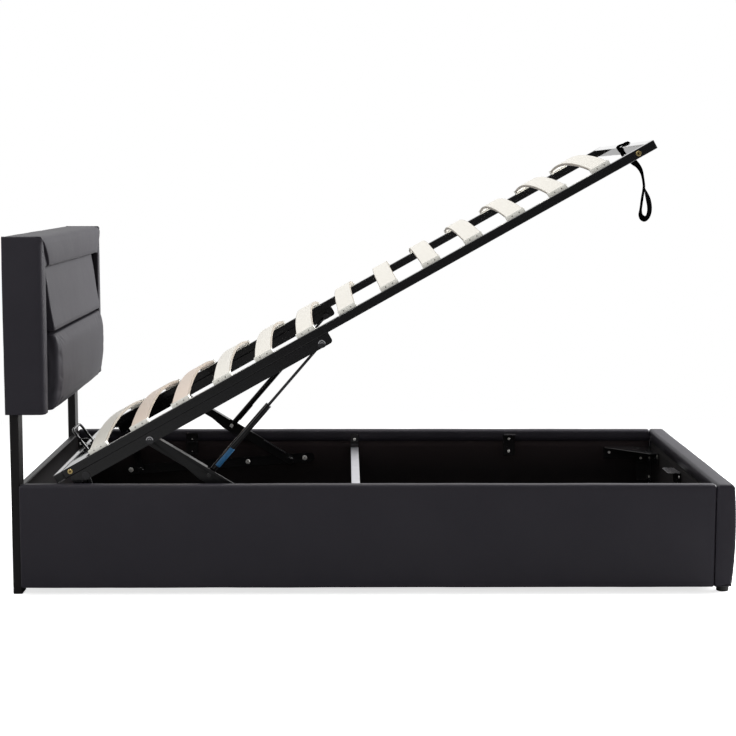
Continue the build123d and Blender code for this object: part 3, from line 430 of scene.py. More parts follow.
def slatWood():
    v = slatLook
    look = Finish("slatWood")
    grain = look.cloud(30.0, 6.0, look.place((9, 0.35, 9)), 0.6)
    fleck = look.cloud(260.0, 3.0, look.place((2, 0.2, 2)))
    tone, ply, edge = (look.node("ShaderNodeAttribute", {"attribute_name": label}, out="Fac")
                       for label in ("tone", "ply", "cutEdge"))
    # painted light and shade along the platform: slats lighter towards the head end, to make up for the headboard's
    # shadow there, and darker towards the foot end
    along = look.spread(look.measure("X"), 0.0, 1.0, v["headSpot"], v["footSpot"])
    pale = look.mixed(0.5, v["pale"], look.mixed(along, v["headPaintedLight"], v["footPaintedShade"]))
    colour = look.mixed(grain * 0.16, look.mixed(tone, pale, v["warm"]), v["line"])
    colour = look.mixed((fleck > 0.7) * 0.03, colour, v["line"])
    # the cut edges are darkened: partly the laminated edge's own darker wood, partly painted shade that keeps them
    # from looking lit by the side lamp
    colour = look.mixed(edge * 0.8, colour, v["cut"])
    glueLine = (look.maths("FRACT", ply * v["plies"]) > 0.82) * edge
    return look.coat(look.mixed(glueLine * 0.7, colour, v["glue"]), look.spread(grain, 0.42, 0.55),
                     (grain * 0.6 + fleck * 0.4, 0.04, 0.0002))


studLook = {"near": (0.012, 0.012, 0.013), "far": (0.85, 0.84, 0.82), "stain": (0.05, 0.05, 0.05)}


def studSteel():  # black heads outside the near link, bright nuts at the far one
    v = studLook
    look = Finish("strutStuds")
    stain = look.cloud(60.0, 4.0)
    colour = look.mixed(look.measure("Y") > 0.0, v["near"], v["far"])
    colour = look.mixed(stain * 0.3, colour, v["stain"])
    return look.coat(colour, look.spread(stain, 0.14, 0.3), None, {"Metallic": 0.35})


sleeveLook = {
    "tone": (0.004, 0.062, 0.155), "pale": (0.008, 0.092, 0.205), "dip": (0.003, 0.035, 0.09),
    "far": (0.002, 0.002, 0.003), "ribs": 1250.0,
}


def strutSleeve():  # ribbed and blue on the near strut, black on the far one as painted shade
    v = sleeveLook
    look = Finish("sleevePlastic")
    ribs = look.maths("SINE", look.measure("Z") * v["ribs"])
    broad = look.cloud(60.0, 3.0)
    colour = look.mixed(look.spread(ribs, 0.0, 0.55), look.mixed(broad, v["tone"], v["pale"]), v["dip"])
    # painted shade: the far strut's sleeve is coloured black
    colour = look.mixed(look.measure("Y") > 0.0, colour, v["far"])
    return look.coat(colour, look.spread(broad, 0.26, 0.38), (ribs, 0.4, 0.0006))


finishes = {
    "leather": leather(),
    "board": chipBoard("rawBoard", "raw"),
    "floor_board": chipBoard("blackFacedBoard", "faced"),
    "black_cloth": darkCloth(),
    "webbing": webbing(),
    "black_timber": darkTimber(),
    "glide_plastic": plastic("glidePlastic", "glide", 0.4),
    "silver_steel": brightMetal("galvanisedTube", "galvanised", 0.24, (1, 0.02, 1)),
    "zinc": brightMetal("zincScrews", "zinc", 0.14, metallic=0.35, bolts="ledges"),
    "link_steel": blackSteel("dullLinks", gloss=(0.3, 0.38), coat=0.12),
    "bolt_steel": brightMetal("domedBolts", "zinc", 0.14, metallic=0.35, bolts="bars"),
    "rivet_steel": brightMetal("darkRivets", "dark", 0.1, strength=0.1, metallic=0.3, bolts="rivets"),
    "tube_steel": blackSteel("glossTube", gloss=(0.06, 0.1), coat=1.0, coatIor=2.1),
    "plate_steel": blackSteel("blackPlates", steelLook["plate"]),
    "shelf_steel": blackSteel("blackShelf", steelLook["plate"], shelfTop=steelLook["shelfTop"]),
    "strut_steel": blackSteel("glossBlack", steelLook["strut"], (0.05, 0.09), coat=0.0),
    "stud_steel": studSteel(),
    "brass": brightMetal("brassBolts", "brass", 0.16, bolts="brass"),
    "cap_plastic": plastic("capPlastic", "cap", 0.42, dots=True),
    "sleeve_plastic": strutSleeve(),
    "rod_steel": brightMetal("rodSteel", "rod", 0.14, strength=0.05),
    "loop_wire": blackSteel(),
    "black_steel": blackSteel(),
    "slat_wood": slatWood(),
}
print("finishes ready:", len(finishes))

# every CAD part takes the finish of its slot, rigid ones with their edges eased
easedEdges = {"width": 0.0007, "segments": 2, "angle": 38, "weld": 0.00002}
ownEdges = {
    "slat_caps": 0.0002, "strut_sleeves": 0.0002, "mattress_stop": 0.0002, "head_tube": 0.0012,
    "foot_tube": 0.0012, "side_tube_near": 0.001, "side_tube_far": 0.001,
}
slatNodes = [f"slat_{number:02d}" for number in range(1, 14)]
softNodes = [
    "rail_cover_near", "rail_cover_far", "footboard_cover", "headboard_wrap", "headboard_dust_cover",
    "headboard_wing_near", "headboard_wing_far", "headboard_top_roll", "headboard_upper_pad",
    "headboard_lower_pad", "base_linings", "pull_strap",
]
ownFinish = {
    "strut_studs": "stud_steel", "platform_rivets": "rivet_steel", "base_bar_bolts": "bolt_steel",
    "ledge_brackets": "plate_steel", "corner_brackets": "plate_steel", "foot_ledge": "shelf_steel",
    "strut_cylinders": "strut_steel", "crossbar_hangers": "plate_steel", "headboard_box": "black_cloth",
    "rail_board_near": "floor_board", "rail_board_far": "floor_board",
    "head_tube": "tube_steel", "foot_tube": "tube_steel", "front_links": "link_steel",
}
slotOf = {part["node"]: part["material_slot"] for part in frame["record"]["subparts"]}


def easeEdges(part, width):
    weld = part.modifiers.new("weld", "WELD")
    weld.merge_threshold = easedEdges["weld"]
    bevel = part.modifiers.new("easedEdges", "BEVEL")
    bevel.width = width
    bevel.segments = easedEdges["segments"]
    bevel.limit_method = "ANGLE"
    bevel.angle_limit = radians(easedEdges["angle"])
    bevel.use_clamp_overlap = True


for name, part in nodes.items():
    part.data.materials.clear()
    part.data.materials.append(finishes[ownFinish.get(name, slotOf[name])])
    if name not in softNodes + slatNodes:
        easeEdges(part, ownEdges.get(name, easedEdges["width"]))


# mesh helpers for the upholstery
def newPiece(name, points, faces, slot, smooth=True):
    mesh = bpy.data.meshes.new(name)
    mesh.from_pydata([tuple(p) for p in points], [], faces)
    mesh.materials.append(finishes[slot])
    work = bmesh.new()
    work.from_mesh(mesh)
    bmesh.ops.remove_doubles(work, verts=work.verts, dist=0.00001)
    bmesh.ops.recalc_face_normals(work, faces=work.faces)
    work.to_mesh(mesh)
    work.free()
    if smooth:
        mesh.shade_smooth()
    return addObject(name, mesh)


def settle(piece, body, replaced=()):
    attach(piece, body)
    if replaced:
        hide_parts(*replaced)


def arch(share):  # 0 at both ends of the share, 1 halfway
    return sin(pi * max(0, min(1, share)))


def roundedIn(gap, radius):  # how far a quarter round steps back at this distance from its end
    share = 1 - min(1.0, max(0.0, gap / radius))
    return radius * (1 - sqrt(max(0.0, 1 - share * share)))


# an outline from corners (a, b, radius, softness): points with their softness, and the cuts between them
def roundedOutline(corners, step, cuts=None):
    arcPieces = 6
    count = len(corners)
    raw = []
    for i, (a, b, radius, soft) in enumerate(corners):
        here, before, after = Vector((a, b)), Vector(corners[i - 1][:2]), Vector(corners[(i + 1) % count][:2])
        back, on = (before - here).normalized(), (after - here).normalized()
        if radius <= 0:
            raw.append((here, soft))
            continue
        half = back.angle(on) / 2
        reach = radius / tan(half)
        centre = here + (back + on).normalized() * (radius / sin(half))
        start, end = here + back * reach - centre, here + on * reach - centre
        turn = start.angle_signed(end)
        for k in range(arcPieces + 1):
            spin = Matrix.Rotation(-turn * k / arcPieces, 2)
            raw.append((centre + spin @ start, soft))
    if cuts is None:
        cuts = [int((raw[(i + 1) % len(raw)][0] - here).length / step) for i, (here, soft) in enumerate(raw)]
    points = []
    for i, (here, soft) in enumerate(raw):
        after, softAfter = raw[(i + 1) % len(raw)]
        points.append((here, soft))
        for k in range(1, cuts[i]):
            share = k / cuts[i]
            points.append((here.lerp(after, share), min(soft, softAfter)))
    return points, cuts


def outwards(points):
    area = sum(a[0].x * b[0].y - b[0].x * a[0].y for a, b in zip(points, points[1:] + points[:1]))
    side = 1 if area > 0 else -1
    normals = []
    for i in range(len(points)):
        along = points[(i + 1) % len(points)][0] - points[i - 1][0]
        normals.append(Vector((along.y, -along.x)).normalized() * side if along.length > 1e-9 else Vector((0, 0)))
    return normals


def ripple(place, size, seed):
    return noise.noise(Vector(place) * size + Vector((seed * 7.3, seed * 3.1, seed)))


# faces of a tube from its rings of points, looped or with flat ends
def tubeFaces(size, rings, looped=False):
    faces = []
    for r in range(rings if looped else rings - 1):
        here, after = r * size, (r + 1) % rings * size
        for k in range(size):
            n = (k + 1) % size
            faces.append((here + k, here + n, after + n, after + k))
    if not looped:
        faces.append(tuple(range(size)))
        faces.append(tuple(reversed(range((rings - 1) * size, rings * size))))
    return faces


ripples = {"calm": 0.06, "broadSize": 6.0, "broadWave": 0.0007, "fineSize": 27.0, "fineWave": 0.00025}


# sweep an outline, fixed or a function of the spot, along an axis and round its ends
def sweepOutline(outline, stations, axis, step, crown, seed, endRadius):
    v = ripples
    outlineAt = outline if callable(outline) else lambda spot: outline
    order = {"x": (2, 0, 1), "y": (0, 2, 1), "z": (0, 1, 2)}[axis]
    low, high = stations[0], stations[-1]
    cuts = roundedOutline(outlineAt((low + high) / 2), step)[1]
    made = []
    for spot in stations:
        points = roundedOutline(outlineAt(spot), step, cuts)[0]
        inner = min(spot - low, high - spot)
        pull = roundedIn(inner, endRadius)
        taper = min(1.0, inner / v["calm"])
        for (here, soft), out in zip(points, outwards(points)):
            a, b = here
            full = soft * (crown(a, b, spot) * taper * (2 - taper) - pull)
            broad = ripple((a, b, spot), v["broadSize"], seed) * v["broadWave"]
            fine = ripple((a, b, spot), v["fineSize"], seed) * v["fineWave"]
            moved = here + out * (full + soft * taper * (broad + fine))
            made.append(Vector([(moved.x, moved.y, spot)[i] for i in order]))
    return made, tubeFaces(len(made) // len(stations), len(stations))


def stationsBetween(low, high, step, radius):  # closer together at the rounded ends
    ends = [radius * (1 - cos(pi / 2 * k / 5)) for k in range(6)]
    middle = low + radius
    pieces = max(2, int((high - low - 2 * radius) / step))
    inner = [middle + (high - low - 2 * radius) * k / pieces for k in range(1, pieces)]
    return [low + e for e in ends] + inner + [high - e for e in reversed(ends)]


def mirrored(points):
    return [Vector((p[0], -p[1], p[2])) for p in points]


def smoothCurve(points, pieces):
    def beyond(end, before):
        return tuple(2 * a - b for a, b in zip(end, before))

    ends = [beyond(points[0], points[1]), *points, beyond(points[-1], points[-2])]
    made = []
    for i in range(1, len(ends) - 2):
        p0, p1, p2, p3 = (Vector(p) for p in ends[i - 1:i + 3])
        for k in range(pieces):
            t = k / pieces
            made.append(0.5 * ((2 * p1) + (p2 - p0) * t + (2 * p0 - 5 * p1 + 4 * p2 - p3) * t * t
                               + (3 * p1 - p0 - 3 * p2 + p3) * t * t * t))
    made.append(Vector(points[-1]))
    return made


# rails: leather over foam over a board, turned in at the top and bottom edges
rail = {
    "headEnd": -0.98, "footEnd": 0.955, "outer": -0.515, "inner": -0.48, "boardOut": -0.507, "boardIn": -0.483,
    "top": 0.3115, "bottom": 0.0217, "boardTop": 0.3015, "boardLow": 0.0247, "lipTop": 0.2755, "lipLow": 0.0417,
    "edge": 0.009, "lowEdge": 0.004, "belly": 0.0014, "endRound": 0.008,
}


def makeRails():
    v = rail
    corners = [
        (v["inner"], v["lipTop"], 0, 0), (v["inner"], v["top"], v["edge"], 1), (v["outer"], v["top"], v["edge"], 1),
        (v["outer"], v["bottom"], v["lowEdge"], 1), (v["inner"], v["bottom"], 0.002, 0.3),
        (v["inner"], v["lipLow"], 0, 0), (v["boardIn"], v["lipLow"], 0, 0), (v["boardIn"], v["boardLow"], 0, 0),
        (v["boardOut"], v["boardLow"], 0, 0), (v["boardOut"], v["boardTop"], 0, 0),
        (v["boardIn"], v["boardTop"], 0, 0), (v["boardIn"], v["lipTop"], 0, 0),
    ]

    def crown(a, b, spot):
        onFace = a < v["outer"] + 0.004
        return v["belly"] * arch((b - v["bottom"]) / (v["top"] - v["bottom"])) if onFace else 0.0004

    stations = stationsBetween(v["headEnd"], v["footEnd"] - 0.0003, 0.016, v["endRound"])
    points, faces = sweepOutline(corners, stations, "x", 0.011, crown, 1, v["endRound"])
    for side, placed in (("near", points), ("far", mirrored(points))):
        piece = newPiece("rail_leather_" + side, placed, faces, "leather")
        settle(piece, "bed_base", ["rail_cover_" + side])


# footboard: the same wrap round three sides with its outer face bulging
foot = {
    "inner": 0.955, "topX": 1.0057, "middleX": 1.012, "lowX": 1.003, "half": 0.515, "recess": 0.003, "edge": 0.01,
    "endRound": 0.008, "clear": 0.48, "clearEdge": 0.0002,
}


def makeFootboard():
    v, r = foot, rail
    high, low = Vector((v["topX"], r["top"])), Vector((v["lowX"], r["bottom"]))
    arc = []
    for k in range(1, 8):
        share = k / 8
        bulge = 4 * share * (1 - share) * (v["middleX"] - (v["topX"] + v["lowX"]) / 2)
        here = high.lerp(low, share)
        arc.append((here.x + bulge, here.y, 0, 1))

    def outlineAt(spot):
        back = v["inner"] + (v["recess"] if abs(spot) < v["clear"] else 0.0004)
        return [
            (v["inner"], r["lipTop"], 0, 0), (v["inner"], r["top"], v["edge"], 1), (v["topX"], r["top"], v["edge"], 1),
            *arc, (v["lowX"], r["bottom"], 0.004, 1), (v["inner"], r["bottom"], 0.002, 0.3),
            (v["inner"], r["lipLow"], 0, 0), (back, r["lipLow"], 0, 0), (back, r["lipTop"], 0, 0),
        ]

    def crown(a, b, spot):
        return 0.0005 * arch((b - r["bottom"]) / (r["top"] - r["bottom"]))

    stations = stationsBetween(-v["half"], v["half"], 0.016, v["endRound"])
    stations += [end + side for end in (-v["clear"], v["clear"]) for side in (-v["clearEdge"], v["clearEdge"])]
    points, faces = sweepOutline(outlineAt, sorted(stations), "y", 0.03, crown, 4, v["endRound"])
    piece = newPiece("footboard_leather", points, faces, "leather")
    settle(piece, "bed_base", ["footboard_cover"])


# headboard: a roll above two pads, between two side wings that turn in over the pads' ends
head = {
    "back": -1.012, "half": 0.515, "low": 0.507, "top": 0.996, "boxFront": -0.932, "wingFront": -0.9005,
    "wingIn": -0.475, "wingTurn": -0.4905, "skin": -0.512, "wingRound": 0.016, "wingTopRound": 0.009,
    "wingLowRound": 0.004, "fullness": 0.0012, "rollLow": 0.91, "topRound": 0.02, "lowRound": 0.01,
    "rollFront": -0.8988, "rollBelly": 0.0035, "rollDeep": 0.0015,
}
seam = [  # height and half width of the curved seam between the roll and the wings
    (0.91, 0.4225), (0.926, 0.438), (0.94, 0.4535), (0.961, 0.4787), (0.99, 0.51), (1.001, 0.511),
]


def seamHalf(z):
    for (low, near), (high, far) in zip(seam, seam[1:]):
        if z <= high:
            return near + (far - near) * max(0.0, (z - low) / (high - low))
    return seam[-1][1]


def makeWings():
    v = head

    def outlineAt(z):
        front = v["wingFront"] - roundedIn(v["top"] - z, v["wingTopRound"])
        front -= roundedIn(z - v["low"], v["wingLowRound"])
        back = (v["back"], -v["half"], 0.003, 1)
        if z < v["rollLow"]:
            return [
                back, (front, -v["half"], v["wingRound"], 1), (front, v["wingIn"], 0.004, 0.7),
                (front - 0.012, v["wingIn"], 0, 0.3), (v["boxFront"], v["wingIn"], 0, 0),
                (v["boxFront"], v["skin"], 0, 0), (v["back"], v["skin"], 0, 0),
            ]
        inner = -seamHalf(z)
        lip = front - roundedIn(z - v["rollLow"], v["lowRound"]) - 0.0035
        turnIn = v["wingTurn"] if inner > v["wingTurn"] else inner - 0.0015
        corner = min(v["wingRound"], (inner + v["half"]) * 0.8)
        return [
            back, (front, -v["half"], corner, 1), (front, min(turnIn, inner - 0.003), 0.001, 0.7),
            (lip, inner, 0, 0), (v["boxFront"], inner, 0, 0), (v["boxFront"] - 0.03, inner, 0, 0),
            (v["back"], inner, 0, 0),
        ]

    def crown(a, b, z):
        return v["fullness"] * arch((z - v["low"]) / (v["top"] - v["low"]))

    stations = stationsBetween(v["low"], v["top"], 0.012, 0.004)
    stations += [v["rollLow"] - 0.0003, v["rollLow"] + 0.0003]
    stations += [v["rollLow"] + v["lowRound"] * k / 6 for k in (1, 2, 4)]
    stations += [v["top"] - v["topRound"] * k / 8 for k in range(1, 8)]
    points, faces = sweepOutline(outlineAt, sorted(stations), "z", 0.012, crown, 9, 0.004)
    for side, placed in (("near", points), ("far", mirrored(points))):
        piece = newPiece("headboard_side_" + side, placed, faces, "leather")
        settle(piece, "bed_base", ["headboard_wing_" + side])


# puff a closed shell with air pressure, its back held where it is and no point moved past its reach
def plump(piece, values, reach, heldBehind):
    remesh = piece.modifiers.new("remesh", "REMESH")
    remesh.mode = "VOXEL"
    remesh.voxel_size = values["voxel"]
    baked = bpy.data.meshes.new_from_object(evaluated(piece))
    piece.modifiers.clear()
    piece.data = baked
    before = [v.co.copy() for v in baked.vertices]
    held = piece.vertex_groups.new(name="held")
    held.add([i for i, p in enumerate(before) if p.x < heldBehind], 1.0, "REPLACE")
    cloth = piece.modifiers.new("cloth", "CLOTH")
    cloth.settings.use_pressure = True
    cloth.settings.uniform_pressure_force = values["pressure"]
    cloth.settings.vertex_group_mass = "held"
    cloth.settings.effector_weights.gravity = 0
    cloth.settings.tension_stiffness = values["stiffness"]
    cloth.settings.compression_stiffness = values["stiffness"]
    cloth.settings.bending_stiffness = values["bending"]
    frames = values["frames"]
    cloth.point_cache.frame_start, cloth.point_cache.frame_end = 1, frames
    scene.frame_start, scene.frame_end = 1, frames
    for number in range(1, frames + 1):
        scene.frame_set(number)
    after = [v.co.copy() for v in evaluated(piece).data.vertices]
    piece.modifiers.clear()
    for vertex, old, new in zip(baked.vertices, before, after):
        shift = new - old
        far = shift.length
        vertex.co = old + (shift * (reach * tanh(far / reach) / far) if far > 1e-9 else shift)
    scene.frame_set(1)
    work = bmesh.new()
    work.from_mesh(baked)
    for _ in range(2):
        bmesh.ops.smooth_vert(work, verts=[v for v in work.verts if v.co.x > heldBehind], factor=0.3,
                              use_axis_x=True, use_axis_y=True, use_axis_z=True)
    work.to_mesh(baked)
    work.free()
    baked.shade_smooth()


pads = {
    "half": 0.415, "back": -0.9318, "step": 0.01, "voxel": 0.0045, "pressure": 4.0, "stiffness": 25,
    "bending": 2.0, "frames": 20,
    "upper": {"low": 0.7308, "top": 0.9097, "topFront": -0.9155, "lowFront": -0.8905, "fullness": 0.0006,
              "endRound": 0.005},
    "lower": {"low": 0.504, "top": 0.7236, "lowFront": -0.912, "fullness": 0.0015, "endRound": 0.016,
              "reach": 0.0035},
}
upperCurve = [  # the upper pad's front, from its top edge down
    (-0.914, 0.907), (-0.9065, 0.861), (-0.903, 0.833), (-0.8985, 0.797), (-0.892, 0.76), (-0.888, 0.736),
]
lowerCurve = [  # the lower pad's front, from its top edge down
    (-0.8925, 0.7248), (-0.888, 0.7222), (-0.8818, 0.706), (-0.8778, 0.6721), (-0.8768, 0.62), (-0.8785, 0.585),
    (-0.8835, 0.548), (-0.8885, 0.524), (-0.895, 0.509), (-0.902, 0.503),
]


def makePads():
    v = pads
    up, low = v["upper"], v["lower"]

    def shell(name, outline, crown, seed, endRadius):
        stations = stationsBetween(-v["half"], v["half"], v["step"], endRadius)
        points, faces = sweepOutline(outline, stations, "y", v["step"], crown, seed, endRadius)
        return newPiece(name, points, faces, "leather")

    def flat(a, b, spot):
        return up["fullness"]

    def belly(a, b, spot):
        return low["fullness"] * (1 - (abs(spot) / v["half"]) ** 6)

    slope = [(p.x, p.y, 0, 1) for p in smoothCurve(upperCurve, 3)]
    wedge = [
        (v["back"], up["low"], 0, 0), (v["back"], up["top"], 0, 0), (up["topFront"], up["top"], 0, 0.3), *slope,
        (up["lowFront"], up["low"], 0.002, 0.8),
    ]
    upper = shell("headboard_pad_upper", wedge, flat, 12, up["endRound"])
    front = [(p.x, p.y, 0, 1) for p in smoothCurve(lowerCurve, 3)]
    cushion = [
        (v["back"], low["low"] - 0.001, 0, 0), (v["back"], low["top"] + 0.0012, 0, 0.2), *front,
        (low["lowFront"], low["low"] - 0.0012, 0, 0.5),
    ]
    lower = shell("headboard_pad_lower", cushion, belly, 15, low["endRound"])
    plump(lower, v, low["reach"], v["back"] + 0.004)
    settle(upper, "bed_base", ["headboard_upper_pad"])
    settle(lower, "bed_base", ["headboard_lower_pad"])


def makeRoll():
    v = head
    deep = v["rollDeep"]
    front = []
    for k in range(1, 24):
        z = v["top"] - deep - (v["top"] - v["rollLow"] - deep) * k / 24
        x = v["rollFront"] - roundedIn(v["top"] - z, v["topRound"]) - roundedIn(z - v["rollLow"], v["lowRound"])
        x += v["rollBelly"] * arch((z - v["rollLow"]) / (v["top"] - v["rollLow"]))
        front.append((x, z, 0, 1))
    outline = [
        (v["back"], v["rollLow"], 0, 0), (v["back"] + 0.0005, v["top"] - deep, 0.006, 1),
        (v["rollFront"] - v["topRound"], v["top"] - deep, 0, 1), *front,
        (v["rollFront"] - v["lowRound"], v["rollLow"], 0, 0.6), (v["boxFront"], v["rollLow"], 0, 0),
    ]

    def crown(a, b, spot):
        return v["fullness"]

    stations = stationsBetween(-v["half"], v["half"], 0.012, 0.004)
    points, faces = sweepOutline(outline, stations, "y", 0.012, crown, 21, 0.004)
    for point in points:
        point.y *= (seamHalf(point.z) - 0.0004) / v["half"]
    roll = newPiece("headboard_roll", points, faces, "leather")
    settle(roll, "bed_base", ["headboard_top_roll"])


# one piece of several boxes (x, y and z ranges), its edges eased
def boxPiece(name, boxes, slot, edge, move=Vector):
    points, faces = [], []
    for xs, ys, zs in boxes:
        for face in ((0, 1, 3, 2), (4, 6, 7, 5), (0, 4, 5, 1), (2, 3, 7, 6), (0, 2, 6, 4), (1, 5, 7, 3)):
            faces.append(tuple(i + len(points) for i in face))
        points += [move((x, y, z)) for x in xs for y in ys for z in zs]
    piece = newPiece(name, points, faces, slot, smooth=False)
    bevel = piece.modifiers.new("soft", "BEVEL")
    bevel.width, bevel.segments = edge, 2
    return piece


# leather turned round the back edge and under the headboard
headWrap = {"side": 0.5118, "skin": 0.003, "border": 0.032, "edge": 0.001}


def makeHeadWrap():
    v, h = headWrap, head
    side, low, above = v["side"], h["low"], h["low"] + v["skin"]
    rim, edge, top = (h["back"], h["back"] + v["skin"]), side - v["border"], h["rollLow"] - 0.0002
    piece = boxPiece("headboard_back_leather", [
        ((h["back"], h["boxFront"]), (-side, side), (low, above)), (rim, (-side, -edge), (above, top)),
        (rim, (edge, side), (above, top)), (rim, (-edge, edge), (above, low + v["border"])),
    ], "leather", v["edge"])
    settle(piece, "bed_base", ["headboard_wrap"])


# thin cloth, stapled flat and slack between its edges
linings = {
    "thin": 0.0008, "cell": 0.02, "inset": 0.0005, "slack": 0.001, "half": 0.4795, "headGap": 0.006,
    "footGap": 0.0035, "railBack": 0.4829, "railFront": 0.4805, "footBack": 0.9579, "footFront": 0.9555,
    "headFront": -1.0092, "headBack": -1.0115, "headLow": 0.5395, "headTop": 0.9095, "headSlack": 0.0012,
}


def clothSheet(name, low, high, facing, slack, seed, replaced):
    v = linings
    across, up = [i for i in range(3) if i != facing]
    sizes = [high[i] - low[i] for i in (across, up)]
    columns, rows = [max(2, int(s / v["cell"])) for s in sizes]
    sign = 1 if high[facing] > low[facing] else -1
    points, faces = [], []
    for layer in (0, 1):
        for a in range(columns + 1):
            for b in range(rows + 1):
                here = [0, 0, 0]
                u, w = a / columns, b / rows
                here[across] = low[across] + sizes[0] * u
                here[up] = low[up] + sizes[1] * w
                calm = min(1, 16 * u * (1 - u)) * min(1, 16 * w * (1 - w))
                wave = slack * calm * (ripple(here, 5.0, seed) + 0.4 * ripple(here, 15.0, seed + 3))
                here[facing] = low[facing] + sign * (layer * v["thin"] + abs(wave))
                points.append(Vector(here))
    step, size = rows + 1, (columns + 1) * (rows + 1)
    for a in range(columns):
        for b in range(rows):
            corner = a * step + b
            quad = (corner, corner + 1, corner + step + 1, corner + step)
            faces += [quad, tuple(i + size for i in reversed(quad))]
    rim = [a * step for a in range(columns + 1)] + [columns * step + b for b in range(1, step)]
    rim += [a * step + rows for a in range(columns - 1, -1, -1)] + list(range(rows - 1, 0, -1))
    for i, j in zip(rim, rim[1:] + rim[:1]):
        faces.append((i, j, j + size, i + size))
    piece = newPiece(name, points, faces, "black_cloth")
    settle(piece, "bed_base", replaced)


def makeLinings():
    v, r, half = linings, rail, linings["half"]
    low, high = r["lipLow"] + v["inset"], r["lipTop"] - v["inset"]
    for side, sign in (("near", -1), ("far", 1)):
        clothSheet("rail_lining_" + side, (r["headEnd"] + v["headGap"], sign * v["railBack"], low),
                   (foot["inner"] - v["footGap"], sign * v["railFront"], high), 1, v["slack"], 30 + sign,
                   ["base_linings"])
    clothSheet("foot_lining", (v["footBack"], -half, low), (v["footFront"], half, high), 0, v["slack"], 35,
               ["base_linings"])
    clothSheet("headboard_back_cloth", (v["headFront"], -half, v["headLow"]), (v["headBack"], half, v["headTop"]),
               0, v["headSlack"], 38, ["headboard_dust_cover"])


# pull strap: flat webbing round the foot tube, turned on its way to an open hand loop
strap = {
    "width": 0.0245, "thick": 0.0016, "y": -0.054, "sway": 0.004, "cuts": 6, "wrapWidth": 0.036, "wrapThick": 0.0055,
    "wrapLoose": 0.0165, "wrapSlack": 0.0015, "wrapCuts": 40, "tubeAlong": 1.8875, "tubeBelow": 0.0125,
}
strapTail = [  # x, z and how much of the webbing's width faces sideways
    (0.779, 1.2108, 0.66), (0.7874, 1.2038, 0.66), (0.7981, 1.1939, 0.46), (0.8066, 1.1811, 0.3),
    (0.8116, 1.1672, 0.15), (0.8149, 1.1509, 0.1), (0.8171, 1.1345, 0.1),
]
strapLoop = [
    (0.8158, 1.1188, 0.1), (0.8132, 1.1012, 0.08), (0.811, 1.0808, 0.08), (0.8092, 1.0632, 0.12),
    (0.8095, 1.049, 0.34), (0.8152, 1.0398, 0.62), (0.8234, 1.0358, 0.66), (0.8322, 1.045, 0.66),
    (0.836, 1.0603, 0.68), (0.8352, 1.0779, 0.7), (0.831, 1.0954, 0.68), (0.825, 1.1124, 0.5),
    (0.8192, 1.1287, 0.2), (0.8182, 1.1357, 0.1),
]
band = [  # shares of the webbing's width and thickness, round its section
    (-0.5, -0.3), (-0.5, 0.3), (-0.44, 0.5), (0.44, 0.5), (0.5, 0.3), (0.5, -0.3), (0.44, -0.5), (-0.44, -0.5),
]


# a band along a path, with its sideways direction at each point: points, faces and places in the weave
def ribbon(path, sides, width, thick, looped=False):
    points, spots = [], []
    count, run = len(path), 0.0
    for i, here in enumerate(path):
        before = path[i - 1] if i or looped else path[0]
        after = path[(i + 1) % count] if looped or i < count - 1 else path[-1]
        run += (here - path[i - 1]).length if i else 0.0
        forward = (after - before).normalized()
        side = sides[i] - forward * sides[i].dot(forward)
        side.normalize()
        out = forward.cross(side)
        for a, b in band:
            points.append(here + side * (a * width) + out * (b * thick))
            spots.append((run, a * width))
    return points, tubeFaces(len(band), count, looped), spots


def makeStrap():
    v = strap
    wrap = []
    for k in range(v["wrapCuts"]):
        turn = 2 * pi * k / v["wrapCuts"]
        c, s = cos(turn), sin(turn)
        grow = v["wrapLoose"] / max(abs(c), abs(s)) ** 0.8 + v["wrapSlack"] * sin(3 * turn + 1.0)
        wrap.append(onPlatform(v["tubeAlong"] + c * grow, s * grow - v["tubeBelow"], v["y"] + v["sway"] * s))
    first = ribbon(wrap, [Vector((0, 1, 0))] * v["wrapCuts"], v["wrapWidth"], v["wrapThick"], looped=True)
    spots = strapTail + strapLoop
    line = smoothCurve([(x, v["y"], z) for x, z, share in spots], v["cuts"])
    shares = smoothCurve([(share, 0) for x, z, share in spots], v["cuts"])
    tail = v["cuts"] * len(strapTail)
    turned = []
    for i, here in enumerate(line):
        ahead = line[min(i + 1, len(line) - 1)] - line[max(i - 1, 0)]
        flat = Vector((ahead.z, 0, -ahead.x)).normalized()
        part = max(0.1, min(0.9, shares[i].x))
        turned.append(flat * part + Vector((0, sqrt(1 - part * part), 0)))
        if i > tail:
            here.y += v["sway"] * sin(pi * (i - tail) / (len(line) - tail))
    second = ribbon(line, turned, v["width"], v["thick"])
    points = first[0] + second[0]
    faces = first[1] + [tuple(i + len(first[0]) for i in face) for face in second[1]]
    weave = first[2] + second[2]
    mesh = bpy.data.meshes.new("hand_strap")
    mesh.from_pydata([tuple(p) for p in points], [], faces)
    layer = mesh.uv_layers.new(name="weave")
    for corner in mesh.loops:
        layer.data[corner.index].uv = weave[corner.vertex_index]
    mesh.materials.append(finishes["webbing"])
    mesh.shade_smooth()
    piece = addObject("hand_strap", mesh)
    settle(piece, "lift_platform", ["pull_strap"])


# plugs in the head tube's open ends
plugs = {"along": 0.0125, "below": 0.0125, "half": 0.0112, "outer": 0.4699, "thick": 0.003, "edge": 0.001}


def makePlugs():
    v = plugs
    boxes = []
    for sign in (-1, 1):
        ys = sorted((sign * v["outer"], sign * (v["outer"] - v["thick"])))
        boxes.append(((v["along"] - v["half"], v["along"] + v["half"]), ys,
                      (-v["below"] - v["half"], -v["below"] + v["half"])))
    piece = boxPiece("tube_plugs", boxes, "glide_plastic", v["edge"], lambda p: onPlatform(p[0], p[2], p[1]))
    settle(piece, "lift_platform")


